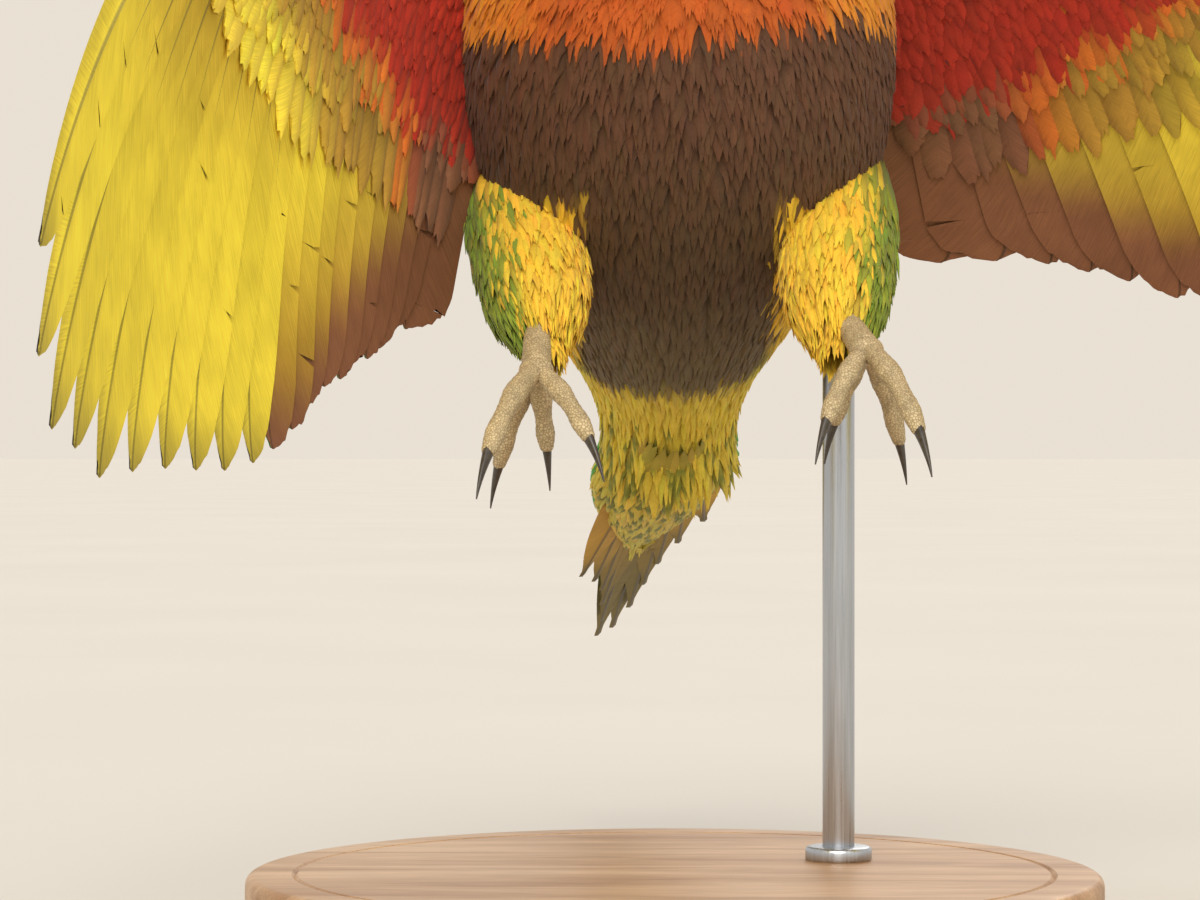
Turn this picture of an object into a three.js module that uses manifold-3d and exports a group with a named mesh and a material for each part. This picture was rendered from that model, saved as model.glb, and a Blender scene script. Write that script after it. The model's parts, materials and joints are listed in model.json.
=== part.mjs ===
// A rainbow lorikeet coming in to land, life size, held by a plain display stand.
// Millimetres, +Z up. The bird faces -Y, its left side is at +X, and the origin is the middle
// of the underside of the stand's base. Every solid is as large as the plumage it stands for.
import * as THREE from "three";
import { mergeVertices } from "three/addons/utils/BufferGeometryUtils.js";
import Module from "manifold-3d";

const wasm = await Module();
wasm.setup();

const radians = THREE.MathUtils.degToRad;
const lerp = THREE.MathUtils.lerp;
const vector = (x, y, z) => new THREE.Vector3(x, y, z);

// Touching pieces keep this gap.
const GAP = 0.3;

// The spine runs up the trunk from the root of the tail, and bends forward through the neck to the bill.
const TAIL_ROOT = vector(0, 47, 77);
const TRUNK_PITCH = radians(55);
const TRUNK_LENGTH = 85;
const BILL_BASE = vector(0, -52, 178);
const HEAD_PITCH = radians(-5);
const NECK_BEND = 28;

// Half the width of the plumage, and its height above and below the spine, at distances along it.
const BODY_STATIONS = [
  { at: 0, side: 8, back: 7, belly: 7.5 },
  { at: 10, side: 12, back: 10.5, belly: 11.5 },
  { at: 25, side: 20.5, back: 17.5, belly: 19.5 },
  { at: 45, side: 30.5, back: 25, belly: 28 },
  { at: 65, side: 34, back: 28, belly: 31 },
  { at: 85, side: 32.5, back: 27, belly: 30 },
  { at: 100, side: 26, back: 22, belly: 26 },
  { at: 112, side: 19, back: 17.5, belly: 19 },
  { at: 124, side: 15.8, back: 16.2, belly: 15 },
  { at: 134, side: 15.2, back: 15.8, belly: 13.6 },
  { at: 141, side: 13, back: 13.9, belly: 12.2 },
  { at: 146, side: 9.8, back: 11.3, belly: 10.6 },
  { at: 149, side: 6.9, back: 8.7, belly: 9 },
];
const BODY_RINGS = 22;
const BODY_SIDES = 16;
const BODY_END = 1.5;
const RUMP_END = 17;
const NECK_START = 99;
const HEAD_START = 121;

// Eyes sit at the sides of the head, a little above the spine.
const EYE = { at: 137, rise: 4.2, radius: 4, proud: 1.2, sides: 10, rings: 7 };

// Each half of the bill follows a curve of offsets forward of and above the end of the spine.
const UPPER_BILL = {
  line: [[-5, 2.4], [4, 2.6], [10.8, -0.8], [14.4, -5.8], [15.2, -11]],
  halfWidths: [[0, 6.2], [0.3, 5.4], [0.6, 3.9], [0.85, 1.9], [1, 0.5]],
  halfHeights: [[0, 5.6], [0.3, 5.3], [0.6, 3.9], [0.85, 1.8], [1, 0.5]],
};
const LOWER_BILL = {
  line: [[-5, -4.2], [2, -4.6], [8, -5.9], [11.8, -6.8]],
  halfWidths: [[0, 5.2], [0.5, 4.3], [0.85, 2.8], [1, 1.4]],
  halfHeights: [[0, 4.3], [0.5, 3.6], [0.85, 2.2], [1, 0.9]],
};
const BILL_RINGS = 10;
const BILL_SIDES = 12;

// A wing is laid out flat and spread: u runs out from the shoulder, v back from the leading edge and
// w up from the wing's plane. bend() then sets it at the shoulder, swept, drooped and pitched.
const SHOULDER = { x: 23, y: 8, z: 156 };
const WRIST = 60;
const HAND_END = 101;
const WING_REACH = 205;
const CAMBER = 0.0011;
const WING_POSES = {
  left: { side: 1, sweep: [24, 44], droop: [-20, 40], pitch: [47, 56], inner: 112 },
  right: { side: -1, sweep: [55, 87], droop: [-20, 34], pitch: [82, 80], inner: 95 },
};
const WING_STATIONS = [
  { at: 0, front: -2, rear: 46, thick: 9 },
  { at: 20, front: -3, rear: 46, thick: 8.5 },
  { at: 45, front: -4, rear: 44, thick: 7 },
  { at: 62, front: -4.5, rear: 40, thick: 5.5 },
  { at: 80, front: -3, rear: 32, thick: 4 },
  { at: 101, front: 2.5, rear: 15, thick: 2 },
];
const WING_RINGS = 5;
const WING_SIDES = 12;
const WING_ARCH = 2.6;
const REAR_THICKNESS = 1.6;

// Flight feathers. angle turns from straight out along the wing towards straight back.
const FEATHER_THICKNESS = 0.7;
const FEATHER_LEAN = 0.035;
const PRIMARIES = {
  count: 10,
  root: [[60, 12], [88, 7]],
  angles: [66, 8],
  lengths: [84, 88, 92, 96, 101, 106, 110, 113, 112, 105],
  halfWidths: [9, 7],
  tip: 0.3,
};
const SECONDARIES = {
  count: 10,
  root: [[6, 18], [57, 13]],
  outerAngle: 70,
  lengths: [50, 53, 56, 59, 62, 65, 68, 72, 76, 80],
  halfWidths: [10, 9.5],
  tip: 0.16,
};
// Where a feather's outline is drawn, as shares of its length up to its tip, then of the tip.
const VANE_STEPS = [0, 0.35, 1];
const TIP_STEPS = [0.6, 1];
const ROOT_END = 0.35;
const ROOT_NARROWING = 0.45;
const TIP_END = 0.12;

// The tail slopes down and back from its root, swings towards the bird's right and rolls.
const TAIL_SLOPE = radians(18);
const TAIL_SWING = radians(5);
const TAIL_ROLL = radians(24);
const TAIL = {
  lengths: [125, 108, 93, 80, 69, 59],
  angles: [0.4, 0.9, 1.5, 2.4, 4.6, 8.5],
  halfWidths: [6.2, 6.2, 6.2, 6.2, 6, 6],
  layer: 0.28,
  level: 1.5,
  spread: [0.8, 0.55],
  arch: 0.004,
  tip: 0.7,
  point: 1.7,
  vane: [0, 1],
};
const COVERTS = {
  start: -8,
  end: 62,
  rings: 7,
  sides: 10,
  side: [8, 12.5, 3],
  above: [7, 6, 1.2],
  below: [8, 10, 1.8],
};

// Legs: the thigh is a feathered drumstick, and the bare shank and toes reach forward and down.
// Each toe points out from the body's middle, forward and down by the three shares given.
const LEG_POSES = {
  left: {
    side: 1,
    hip: [25.5, 12, 116],
    ankle: [24, -13.5, 92],
    sole: [27.5, -25, 88.5],
    toes: {
      inner_front: [-0.42, 0.73, 0.45],
      outer_front: [0.3, 0.83, 0.35],
      inner_hind: [-0.3, -0.55, 0.55],
      outer_hind: [0.32, -0.75, 0.5],
    },
  },
  right: {
    side: -1,
    hip: [24, 12, 116],
    ankle: [20, -13.5, 92],
    sole: [20.5, -26, 85.5],
    toes: {
      inner_front: [-0.5, 0.7, 0.42],
      outer_front: [0.32, 0.84, 0.36],
      inner_hind: [-0.1, -0.55, 0.6],
      outer_hind: [0.3, -0.7, 0.5],
    },
  },
};
const THIGH = {
  radii: [[0, 9], [0.35, 8.8], [0.7, 7.7], [0.88, 6.4], [1, 4]],
  flatness: 0.95,
  rings: 7,
  sides: 12,
};
const SHANK = { radius: 2, flare: 1.15, inThigh: 0.12, rings: 3, sides: 8 };
const TOES = {
  inner_front: { length: 15, claw: 6.5, radius: 1.5 },
  outer_front: { length: 20, claw: 7, radius: 1.6 },
  inner_hind: { length: 12, claw: 6, radius: 1.5 },
  outer_hind: { length: 18, claw: 6.5, radius: 1.5 },
};
const TOE_CURL = 0.24;
const TOE_TAPER = [1.05, 0.75];
const TOE_RINGS = 4;
const TOE_SIDES = 6;
// A claw's two halves, as shares of its length, and its radii as shares of its toe's.
const CLAW_HALVES = [0.5, 0.55];
const CLAW_TAPER = [0.66, 0.1];
const CLAW_HOOK = 0.9;

// The stand: a turned wooden disc and one steel rod into the bird's left flank.
const BASE = { radius: 65, height: 10, chamfer: 1.5, sides: 32 };
const ROD = { radius: 2.5, x: 26, y: 15, foot: 4, top: 112, sides: 16 };

const COLOURS = {
  head: 0x2b3f9e,
  neck: 0x9bb53a,
  trunk: 0x4a3a30,
  rump: 0x3f8f2e,
  bill: 0xd8401c,
  eye: 0xb5340f,
  feathers: 0x3d4a2a,
  wing: 0xd2572a,
  thigh: 0xc9b433,
  skin: 0x9a8f7c,
  claw: 0x3b352e,
  wood: 0xb98a58,
  steel: 0xa9adb2,
};

// A smooth curve through [x, value] pairs, by Hermite pieces.
function smoothThrough(pairs, x) {
  const last = pairs.length - 1;
  const slope = (i) => {
    const before = pairs[Math.max(i - 1, 0)];
    const after = pairs[Math.min(i + 1, last)];
    return (after[1] - before[1]) / (after[0] - before[0]);
  };
  let i = 0;
  while (i < last - 1 && x > pairs[i + 1][0]) i += 1;
  const [x0, y0] = pairs[i];
  const [x1, y1] = pairs[i + 1];
  const span = x1 - x0;
  const t = THREE.MathUtils.clamp((x - x0) / span, 0, 1);
  const rise = t * t * (3 - 2 * t);
  const ease = t * (1 - t);
  return lerp(y0, y1, rise) + span * ease * ((1 - t) * slope(i) - t * slope(i + 1));
}

const station = (stations, key, x) => smoothThrough(stations.map((s) => [s.at, s[key]]), x);

// A closed geometry as a solid that can be joined and cut.
function solidOf(geometry) {
  const bare = geometry.index ? geometry.toNonIndexed() : geometry.clone();
  bare.deleteAttribute("normal");
  bare.deleteAttribute("uv");
  const merged = mergeVertices(bare, 1e-4);
  const made = new wasm.Manifold(
    new wasm.Mesh({
      numProp: 3,
      vertProperties: merged.attributes.position.array,
      triVerts: new Uint32Array(merged.index.array),
    }),
  );
  return made;
}

// A solid as a geometry for a mesh.
function geometryOf(solid) {
  const { numProp, vertProperties, triVerts } = solid.getMesh();
  const count = vertProperties.length / numProp;
  const places = new Float32Array(count * 3);
  for (let i = 0; i < count; i += 1) {
    places.set(vertProperties.subarray(i * numProp, i * numProp + 3), i * 3);
  }
  const geometry = new THREE.BufferGeometry();
  geometry.setAttribute("position", new THREE.BufferAttribute(places, 3));
  geometry.setIndex(new THREE.BufferAttribute(triVerts, 1));
  geometry.computeVertexNormals();
  return geometry;
}

// Moves every vertex of a geometry by a function of its place.
function reshape(geometry, move) {
  const places = geometry.attributes.position;
  const point = vector(0, 0, 0);
  for (let i = 0; i < places.count; i += 1) {
    point.fromBufferAttribute(places, i);
    const moved = move(point);
    places.setXYZ(i, moved.x, moved.y, moved.z);
  }
  return geometry;
}

// A sphere's rings carried along a line: place(t, angle, share) puts each point, with t from 0 to 1
// along it, angle round it, and share 0 at the two poles and 1 everywhere else.
function loft(rings, sides, place) {
  const sphere = new THREE.SphereGeometry(1, sides, rings);
  const step = Math.PI / rings;
  return reshape(sphere, ({ x, y, z }) => {
    const polar = Math.acos(THREE.MathUtils.clamp(y, -1, 1));
    const onPole = polar < step / 2 || polar > Math.PI - step / 2;
    const t = THREE.MathUtils.clamp((polar - step) / (Math.PI - 2 * step), 0, 1);
    return place(t, Math.atan2(z, x), onPole ? 0 : 1);
  });
}

// A tapering round piece along a curve, with its radius from [share of length, radius] pairs.
function taper(curve, rings, sides, radiusAt, grow = 0, flatten = 1) {
  const frames = curve.computeFrenetFrames(rings, false);
  const geometry = loft(rings, sides, (t, angle, share) => {
    const i = Math.round(t * rings);
    const radius = share * (radiusAt(t) + grow);
    return curve
      .getPointAt(t)
      .addScaledVector(frames.tangents[i], grow * (t < 0.5 ? -1 : 1))
      .addScaledVector(frames.normals[i], radius * Math.cos(angle))
      .addScaledVector(frames.binormals[i], radius * flatten * Math.sin(angle));
  });
  return outward(geometry);
}

// Turns a closed geometry's faces round if they point inwards.
function outward(geometry) {
  const solid = solidOf(geometry);
  return solid.volume() > 0 ? solid : solidOf(geometry.scale(-1, 1, 1)).mirror([1, 0, 0]);
}

function joined(solids) {
  return solids.reduce((sum, solid) => sum.add(solid));
}

function cutBy(solid, ...cutters) {
  return cutters.reduce((rest, cutter) => rest.subtract(cutter), solid);
}

// The largest body of a cut solid, without the crumbs that a cut can leave.
function largest(solid) {
  const bodies = solid.decompose();
  return bodies.reduce((best, body) => (body.volume() > best.volume() ? body : best));
}

// Body
const trunkWay = vector(0, -Math.cos(TRUNK_PITCH), Math.sin(TRUNK_PITCH));
const headWay = vector(0, -Math.cos(HEAD_PITCH), Math.sin(HEAD_PITCH));
const neckRoot = TAIL_ROOT.clone().addScaledVector(trunkWay, TRUNK_LENGTH);
const spine = new THREE.CurvePath();
spine.add(new THREE.LineCurve3(TAIL_ROOT, neckRoot));
spine.add(
  new THREE.CubicBezierCurve3(
    neckRoot,
    neckRoot.clone().addScaledVector(trunkWay, NECK_BEND),
    BILL_BASE.clone().addScaledVector(headWay, -NECK_BEND),
    BILL_BASE,
  ),
);
const SPINE_LENGTH = spine.getLength();

// The spine's place, its way forward and its way up at a distance along it.
function spineFrame(distance) {
  const share = THREE.MathUtils.clamp(distance / SPINE_LENGTH, 0, 1);
  const place = spine.getPointAt(share);
  const way = spine.getTangentAt(share).normalize();
  place.addScaledVector(way, distance - share * SPINE_LENGTH);
  return { place, way, up: vector(0, way.z, -way.y) };
}

function bodyPoint(distance, angle, grow = 0, share = 1) {
  const { place, up } = spineFrame(distance);
  const side = share * (station(BODY_STATIONS, "side", distance) + grow);
  const height = station(BODY_STATIONS, Math.sin(angle) > 0 ? "back" : "belly", distance) + grow;
  place.x += side * Math.cos(angle);
  return place.addScaledVector(up, share * height * Math.sin(angle));
}

function bodySolid(grow = 0) {
  const end = BODY_END + grow;
  return outward(
    loft(BODY_RINGS, BODY_SIDES, (t, angle, share) => {
      const beyond = share ? 0 : end * (t < 0.5 ? -1 : 1);
      return bodyPoint(t * SPINE_LENGTH + beyond, angle, grow, share);
    }),
  );
}

// The part of a solid between two distances along the spine, less half a gap at each cut.
function between(solid, from, to) {
  const cut = (rest, distance, way) => {
    const frame = spineFrame(distance);
    const normal = frame.way.clone().multiplyScalar(way);
    return rest.trimByPlane(normal.toArray(), normal.dot(frame.place) + GAP / 2);
  };
  const lower = from === null ? solid : cut(solid, from, 1);
  return to === null ? lower : cut(lower, to, -1);
}

function eyeSolid(side, grow = 0) {
  const { place, up } = spineFrame(EYE.at);
  const angle = Math.asin(EYE.rise / station(BODY_STATIONS, "back", EYE.at));
  const x = station(BODY_STATIONS, "side", EYE.at) * Math.cos(angle) + EYE.proud - EYE.radius;
  place.addScaledVector(up, EYE.rise);
  const sphere = new THREE.SphereGeometry(EYE.radius + grow, EYE.sides, EYE.rings);
  return solidOf(sphere.translate(side * x, place.y, place.z));
}

function billSolid(bill, grow = 0) {
  const end = spineFrame(SPINE_LENGTH);
  const points = bill.line.map(([ahead, above]) =>
    end.place.clone().addScaledVector(end.way, ahead).addScaledVector(end.up, above),
  );
  const curve = new THREE.CatmullRomCurve3(points);
  const geometry = loft(BILL_RINGS, BILL_SIDES, (t, angle, share) => {
    const way = curve.getTangentAt(t);
    const up = vector(0, way.z, -way.y).normalize();
    const place = curve.getPointAt(t);
    place.x += share * (smoothThrough(bill.halfWidths, t) + grow) * Math.cos(angle);
    const height = share * (smoothThrough(bill.halfHeights, t) + grow);
    return place.addScaledVector(up, height * Math.sin(angle));
  });
  return outward(geometry);
}

// Wings
// The line along a posed wing's leading edge, one frame for each millimetre out from the shoulder.
function wingLine({ side, sweep, droop, pitch }) {
  const frames = [];
  const place = vector(side * SHOULDER.x, SHOULDER.y, SHOULDER.z);
  for (let u = 0; u <= WING_REACH; u += 1) {
    const share = u / WING_REACH;
    const turn = share * share * (3 - 2 * share);
    const forward = radians(lerp(sweep[0], sweep[1], Math.sqrt(turn)));
    const down = radians(lerp(droop[0], droop[1], Math.sqrt(turn)));
    const tilt = radians(lerp(pitch[0], pitch[1], turn));
    const out = vector(
      side * Math.cos(forward) * Math.cos(down),
      -Math.sin(forward) * Math.cos(down),
      -Math.sin(down),
    );
    const level = vector(side * Math.sin(forward), Math.cos(forward), 0);
    const above = vector().crossVectors(out, level).multiplyScalar(side);
    const back = level.clone().multiplyScalar(Math.cos(tilt)).addScaledVector(above, -Math.sin(tilt));
    const up = above.clone().multiplyScalar(Math.cos(tilt)).addScaledVector(level, Math.sin(tilt));
    frames.push({ place: place.clone(), out, back, up });
    place.addScaledVector(out, 1);
  }
  return frames;
}

// Carries a point of the flat wing to the posed one.
function bend(line, { x: u, y: v, z: w }) {
  const i = THREE.MathUtils.clamp(Math.floor(u), 0, line.length - 2);
  const a = line[i];
  const b = line[i + 1];
  const t = u - i;
  const mix = (key) => a[key].clone().lerp(b[key], THREE.MathUtils.clamp(t, 0, 1));
  const beyond = t - THREE.MathUtils.clamp(t, 0, 1);
  const rise = w - CAMBER * v * v;
  return mix("place")
    .addScaledVector(a.out, beyond)
    .addScaledVector(mix("back"), v)
    .addScaledVector(mix("up"), rise);
}

// The fleshy part of a wing with its small feathers, between two distances out from the shoulder.
function wingFlesh(line, from, to, grow = 0) {
  return outward(
    loft(WING_RINGS, WING_SIDES, (t, angle, share) => {
      const u = lerp(from - grow, to + grow, t);
      const front = station(WING_STATIONS, "front", u) - grow;
      const rear = station(WING_STATIONS, "rear", u) + grow;
      const thick = station(WING_STATIONS, "thick", u);
      const across = (1 - Math.cos(angle)) / 2;
      const arch = Math.sqrt(across) * (1 - across) * WING_ARCH;
      const height = lerp(arch * thick, REAR_THICKNESS, across) / 2 + grow;
      const edge = Math.min(1, 4 * across, 4 * (1 - across));
      const v = share ? lerp(front, rear, across) : (front + rear) / 2;
      return bend(line, vector(u, v, share * Math.sign(Math.sin(angle)) * height * Math.sqrt(edge)));
    }),
  );
}

// One feather lying flat along +X from its root: a thin box whose sides follow the vane's outline.
function featherSlab({ length, halfWidth, tip, point = 2, vane = VANE_STEPS, grow = 0 }) {
  const steps = vane.map((step) => step * (1 - tip)).concat(
    TIP_STEPS.map((step) => 1 - tip + tip * step),
  );
  const halfAt = (t) => {
    const root = lerp(ROOT_NARROWING, 1, Math.min(1, t / ROOT_END));
    const end = Math.max(0, (t - 1 + tip) / tip);
    const narrowing = point < 2 ? 1 - end ** point : Math.sqrt(1 - end * end);
    return halfWidth * root * Math.max(TIP_END, narrowing);
  };
  const depth = FEATHER_THICKNESS + 2 * grow;
  const box = new THREE.BoxGeometry(1, 2, depth, steps.length - 1, 1, 1);
  return reshape(box, ({ x, y, z }) => {
    const t = steps[Math.round((x + 0.5) * (steps.length - 1))];
    const beyond = t === 1 ? grow : t === 0 ? -grow : 0;
    return vector(t * length + beyond, y * (halfAt(t) + grow), z);
  });
}

// One row of a wing's flight feathers, joined side by side.
function flightRow(line, row, grow = 0) {
  const feathers = row.lengths.map((length, i) => {
    const t = i / (row.count - 1);
    const [inner, outer] = row.root;
    const turn = radians(lerp(row.angles[0], row.angles[1], t));
    const halfWidth = lerp(row.halfWidths[0], row.halfWidths[1], t);
    const slab = featherSlab({ length, halfWidth, tip: row.tip, grow });
    const laid = reshape(slab, ({ x, y, z }) => {
      const u = lerp(inner[0], outer[0], t) + x * Math.cos(turn) - y * Math.sin(turn);
      const v = lerp(inner[1], outer[1], t) + x * Math.sin(turn) + y * Math.cos(turn);
      return bend(line, vector(u, v, z - FEATHER_LEAN * y));
    });
    return outward(laid);
  });
  return joined(feathers);
}

// Tail
const tailWay = vector(
  -Math.sin(TAIL_SWING) * Math.cos(TAIL_SLOPE),
  Math.cos(TAIL_SWING) * Math.cos(TAIL_SLOPE),
  -Math.sin(TAIL_SLOPE),
);
const tailSide = vector(Math.cos(TAIL_SWING), Math.sin(TAIL_SWING), 0).applyAxisAngle(tailWay, -TAIL_ROLL);
const tailUp = vector().crossVectors(tailSide, tailWay);

// Carries a point of the flat tail, with x to the bird's left, y back and z up, to the posed one.
function tailPoint(x, y, z) {
  return TAIL_ROOT.clone()
    .addScaledVector(tailSide, x)
    .addScaledVector(tailWay, y)
    .addScaledVector(tailUp, z);
}

function tailFeather(i, side, grow = 0) {
  const angle = radians(TAIL.angles[i]) * side;
  const slab = featherSlab({
    length: TAIL.lengths[i],
    halfWidth: TAIL.halfWidths[i],
    tip: TAIL.tip,
    point: TAIL.point,
    vane: TAIL.vane,
    grow,
  });
  const drop = i === 0 ? 0 : -(FEATHER_THICKNESS + GAP + TAIL.layer * i);
  return outward(
    reshape(slab, ({ x, y, z }) => {
      const shift = side * (TAIL.spread[0] + TAIL.spread[1] * i);
      const across = x * Math.sin(angle) + y * Math.cos(angle) + shift;
      const along = x * Math.cos(angle) - y * Math.sin(angle);
      return tailPoint(across, along, z + drop - TAIL.arch * across * across);
    }),
  );
}

// The small feathers over and under the root of the tail, as one tapering piece.
function tailCoverts(grow = 0) {
  const shape = ([start, middle, end], t) =>
    smoothThrough([[0, start], [0.3, middle], [1, end]], t) + grow;
  return outward(
    loft(COVERTS.rings, COVERTS.sides, (t, angle, share) => {
      const across = share * shape(COVERTS.side, t) * Math.cos(angle);
      const height = shape(Math.sin(angle) > 0 ? COVERTS.above : COVERTS.below, t);
      return tailPoint(across, lerp(COVERTS.start, COVERTS.end, t), share * height * Math.sin(angle));
    }),
  );
}

// Legs
const legPoint = ({ side }, [x, y, z]) => vector(side * x, y, z);

function thighSolid(pose, grow = 0) {
  const curve = new THREE.LineCurve3(legPoint(pose, pose.hip), legPoint(pose, pose.ankle));
  const radiusAt = (t) => smoothThrough(THIGH.radii, t);
  return taper(curve, THIGH.rings, THIGH.sides, radiusAt, grow, THIGH.flatness);
}

function shankSolid(pose, grow = 0) {
  const knee = legPoint(pose, pose.ankle).lerp(legPoint(pose, pose.hip), SHANK.inThigh);
  const curve = new THREE.LineCurve3(knee, legPoint(pose, pose.sole));
  return taper(curve, SHANK.rings, SHANK.sides, (t) => SHANK.radius * lerp(1, SHANK.flare, t), grow);
}

// A toe starts at the sole, runs out along its way and curls down towards its claw.
function toeCurve(pose, name) {
  const { length } = TOES[name];
  const [out, forward, down] = pose.toes[name];
  const way = vector(pose.side * out, -forward, -down).normalize();
  const sole = legPoint(pose, pose.sole);
  const at = (share, curl) =>
    sole
      .clone()
      .addScaledVector(way, length * share)
      .addScaledVector(vector(0, 0, -1), length * curl);
  return new THREE.QuadraticBezierCurve3(at(0, 0), at(0.5, -TOE_CURL / 3), at(1, TOE_CURL));
}

function toeSolid(pose, name, grow = 0) {
  const { radius } = TOES[name];
  return taper(toeCurve(pose, name), TOE_RINGS, TOE_SIDES, (t) => radius * lerp(...TOE_TAPER, t), grow);
}

function clawSolid(pose, name) {
  const { claw, radius } = TOES[name];
  const curve = toeCurve(pose, name);
  const way = curve.getTangent(1);
  const start = curve.getPoint(1).addScaledVector(way, -radius);
  const middle = start.clone().addScaledVector(way, radius + claw * CLAW_HALVES[0]);
  const hook = way.clone().addScaledVector(vector(0, 0, -1), CLAW_HOOK).normalize();
  const end = middle.clone().addScaledVector(hook, claw * CLAW_HALVES[1]);
  const line = new THREE.QuadraticBezierCurve3(start, middle, end);
  return taper(line, TOE_RINGS, TOE_SIDES, (t) => radius * lerp(...CLAW_TAPER, t));
}

// Stand
function baseSolid() {
  const { radius, height, chamfer, sides } = BASE;
  const profile = [
    [0, 0],
    [radius - chamfer, 0],
    [radius, chamfer],
    [radius, height - chamfer],
    [radius - chamfer, height],
    [0, height],
  ].map(([x, y]) => new THREE.Vector2(x, y));
  return outward(new THREE.LatheGeometry(profile, sides).rotateX(Math.PI / 2));
}

function rodSolid(grow = 0) {
  const length = ROD.top - ROD.foot + 2 * grow;
  const rod = new THREE.CylinderGeometry(ROD.radius + grow, ROD.radius + grow, length, ROD.sides);
  return outward(rod.rotateX(Math.PI / 2).translate(ROD.x, ROD.y, (ROD.foot + ROD.top) / 2));
}

const lorikeet = new THREE.Group();
lorikeet.name = "rainbow_lorikeet";

function add(name, solid, colour, roughness = 0.8, metalness = 0) {
  const material = new THREE.MeshStandardMaterial({ color: colour, roughness, metalness });
  const mesh = new THREE.Mesh(geometryOf(largest(solid)), material);
  mesh.name = name;
  lorikeet.add(mesh);
}

const sides = Object.entries(WING_POSES);
const body = bodySolid();
const bodyRoom = bodySolid(GAP);
const rodRoom = rodSolid(GAP);
const thighRooms = Object.values(LEG_POSES).map((pose) => thighSolid(pose, GAP));
const eyeRooms = sides.map(([, pose]) => eyeSolid(pose.side, GAP));

// Head, neck, trunk and rump are one shape, parted by thin cuts.
add("head", cutBy(between(body, HEAD_START, null), ...eyeRooms), COLOURS.head);
add("neck", between(body, NECK_START, HEAD_START), COLOURS.neck);
add("trunk", cutBy(between(body, RUMP_END, NECK_START), rodRoom, ...thighRooms), COLOURS.trunk);
add("rump", between(body, null, RUMP_END), COLOURS.rump);
sides.forEach(([name, pose]) => add(`eye_${name}`, eyeSolid(pose.side), COLOURS.eye, 0.2));

const upperBill = cutBy(billSolid(UPPER_BILL), bodyRoom);
add("bill_upper", upperBill, COLOURS.bill, 0.35);
const lowerBill = cutBy(billSolid(LOWER_BILL), bodyRoom, billSolid(UPPER_BILL, GAP));
add("bill_lower", lowerBill, COLOURS.bill, 0.35);

sides.forEach(([name, pose]) => {
  const line = wingLine(pose);
  const arm = wingFlesh(line, 0, WRIST - GAP / 2);
  const hand = wingFlesh(line, WRIST + GAP / 2, HAND_END);
  const fleshRoom = [wingFlesh(line, 0, WRIST, GAP), wingFlesh(line, WRIST, HAND_END, GAP)];
  const primaries = flightRow(line, PRIMARIES);
  const primaryRoom = flightRow(line, PRIMARIES, GAP);
  const inner = { ...SECONDARIES, angles: [pose.inner, SECONDARIES.outerAngle] };
  const secondaries = flightRow(line, inner);
  add(`wing_${name}_arm`, cutBy(arm, bodyRoom), COLOURS.wing);
  add(`wing_${name}_hand`, hand, COLOURS.wing);
  add(`wing_${name}_primaries`, cutBy(primaries, ...fleshRoom), COLOURS.feathers);
  add(
    `wing_${name}_secondaries`,
    cutBy(secondaries, ...fleshRoom, primaryRoom, bodyRoom, ...thighRooms),
    COLOURS.feathers,
  );
});

// The tail's middle pair lies over the rest, and the coverts lie over and under all of it.
const outerFeathers = (side, grow) =>
  joined([1, 2, 3, 4, 5].map((i) => tailFeather(i, side, grow)));
const middlePair = (grow) => joined([tailFeather(0, 1, grow), tailFeather(0, -1, grow)]);
const leftOuter = outerFeathers(1, 0);
const tailRoom = [outerFeathers(1, GAP), outerFeathers(-1, GAP), middlePair(GAP)];
add("tail_middle", cutBy(middlePair(0), bodyRoom), COLOURS.rump);
add("tail_left", cutBy(leftOuter, bodyRoom), COLOURS.rump);
add("tail_right", cutBy(outerFeathers(-1, 0), bodyRoom, outerFeathers(1, GAP)), COLOURS.rump);

// The coverts are parted by a thin cut in the plane of the tail.
const tailLevel = tailUp.dot(TAIL_ROOT) - TAIL.level;
const coverts = cutBy(tailCoverts(), bodyRoom, ...tailRoom);
const underTail = coverts.trimByPlane(tailUp.clone().negate().toArray(), GAP / 2 - tailLevel);
const overTail = coverts.trimByPlane(tailUp.toArray(), tailLevel + GAP / 2);
add("tail_coverts_under", underTail, COLOURS.thigh);
add("tail_coverts_upper", overTail, COLOURS.rump);

Object.entries(LEG_POSES).forEach(([name, pose]) => {
  const toes = Object.keys(TOES);
  const rooms = toes.map((toe) => toeSolid(pose, toe, GAP));
  const thigh = cutBy(thighSolid(pose), rodRoom, shankSolid(pose, GAP));
  add(`leg_${name}_thigh`, thigh, COLOURS.thigh);
  add(`leg_${name}_shank`, cutBy(shankSolid(pose), ...rooms), COLOURS.skin);
  toes.forEach((toe, i) => {
    const before = rooms.slice(0, i);
    const claw = cutBy(clawSolid(pose, toe), rooms[i]);
    add(`leg_${name}_toe_${toe}`, cutBy(toeSolid(pose, toe), ...before), COLOURS.skin);
    add(`leg_${name}_claw_${toe}`, claw, COLOURS.claw, 0.4);
  });
});

add("stand_base", cutBy(baseSolid(), rodRoom), COLOURS.wood, 0.5);
add("stand_rod", rodSolid(), COLOURS.steel, 0.3, 1);

export default lorikeet;
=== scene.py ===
"""A life-size rainbow lorikeet braking in flight, held by a plain display stand.

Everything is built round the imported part, in its frame: metres, +Z up, the bird facing -Y and its left
side at +X. Sizes in this file are in millimetres, as they are in the part, until a mesh is made.
"""

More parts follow.
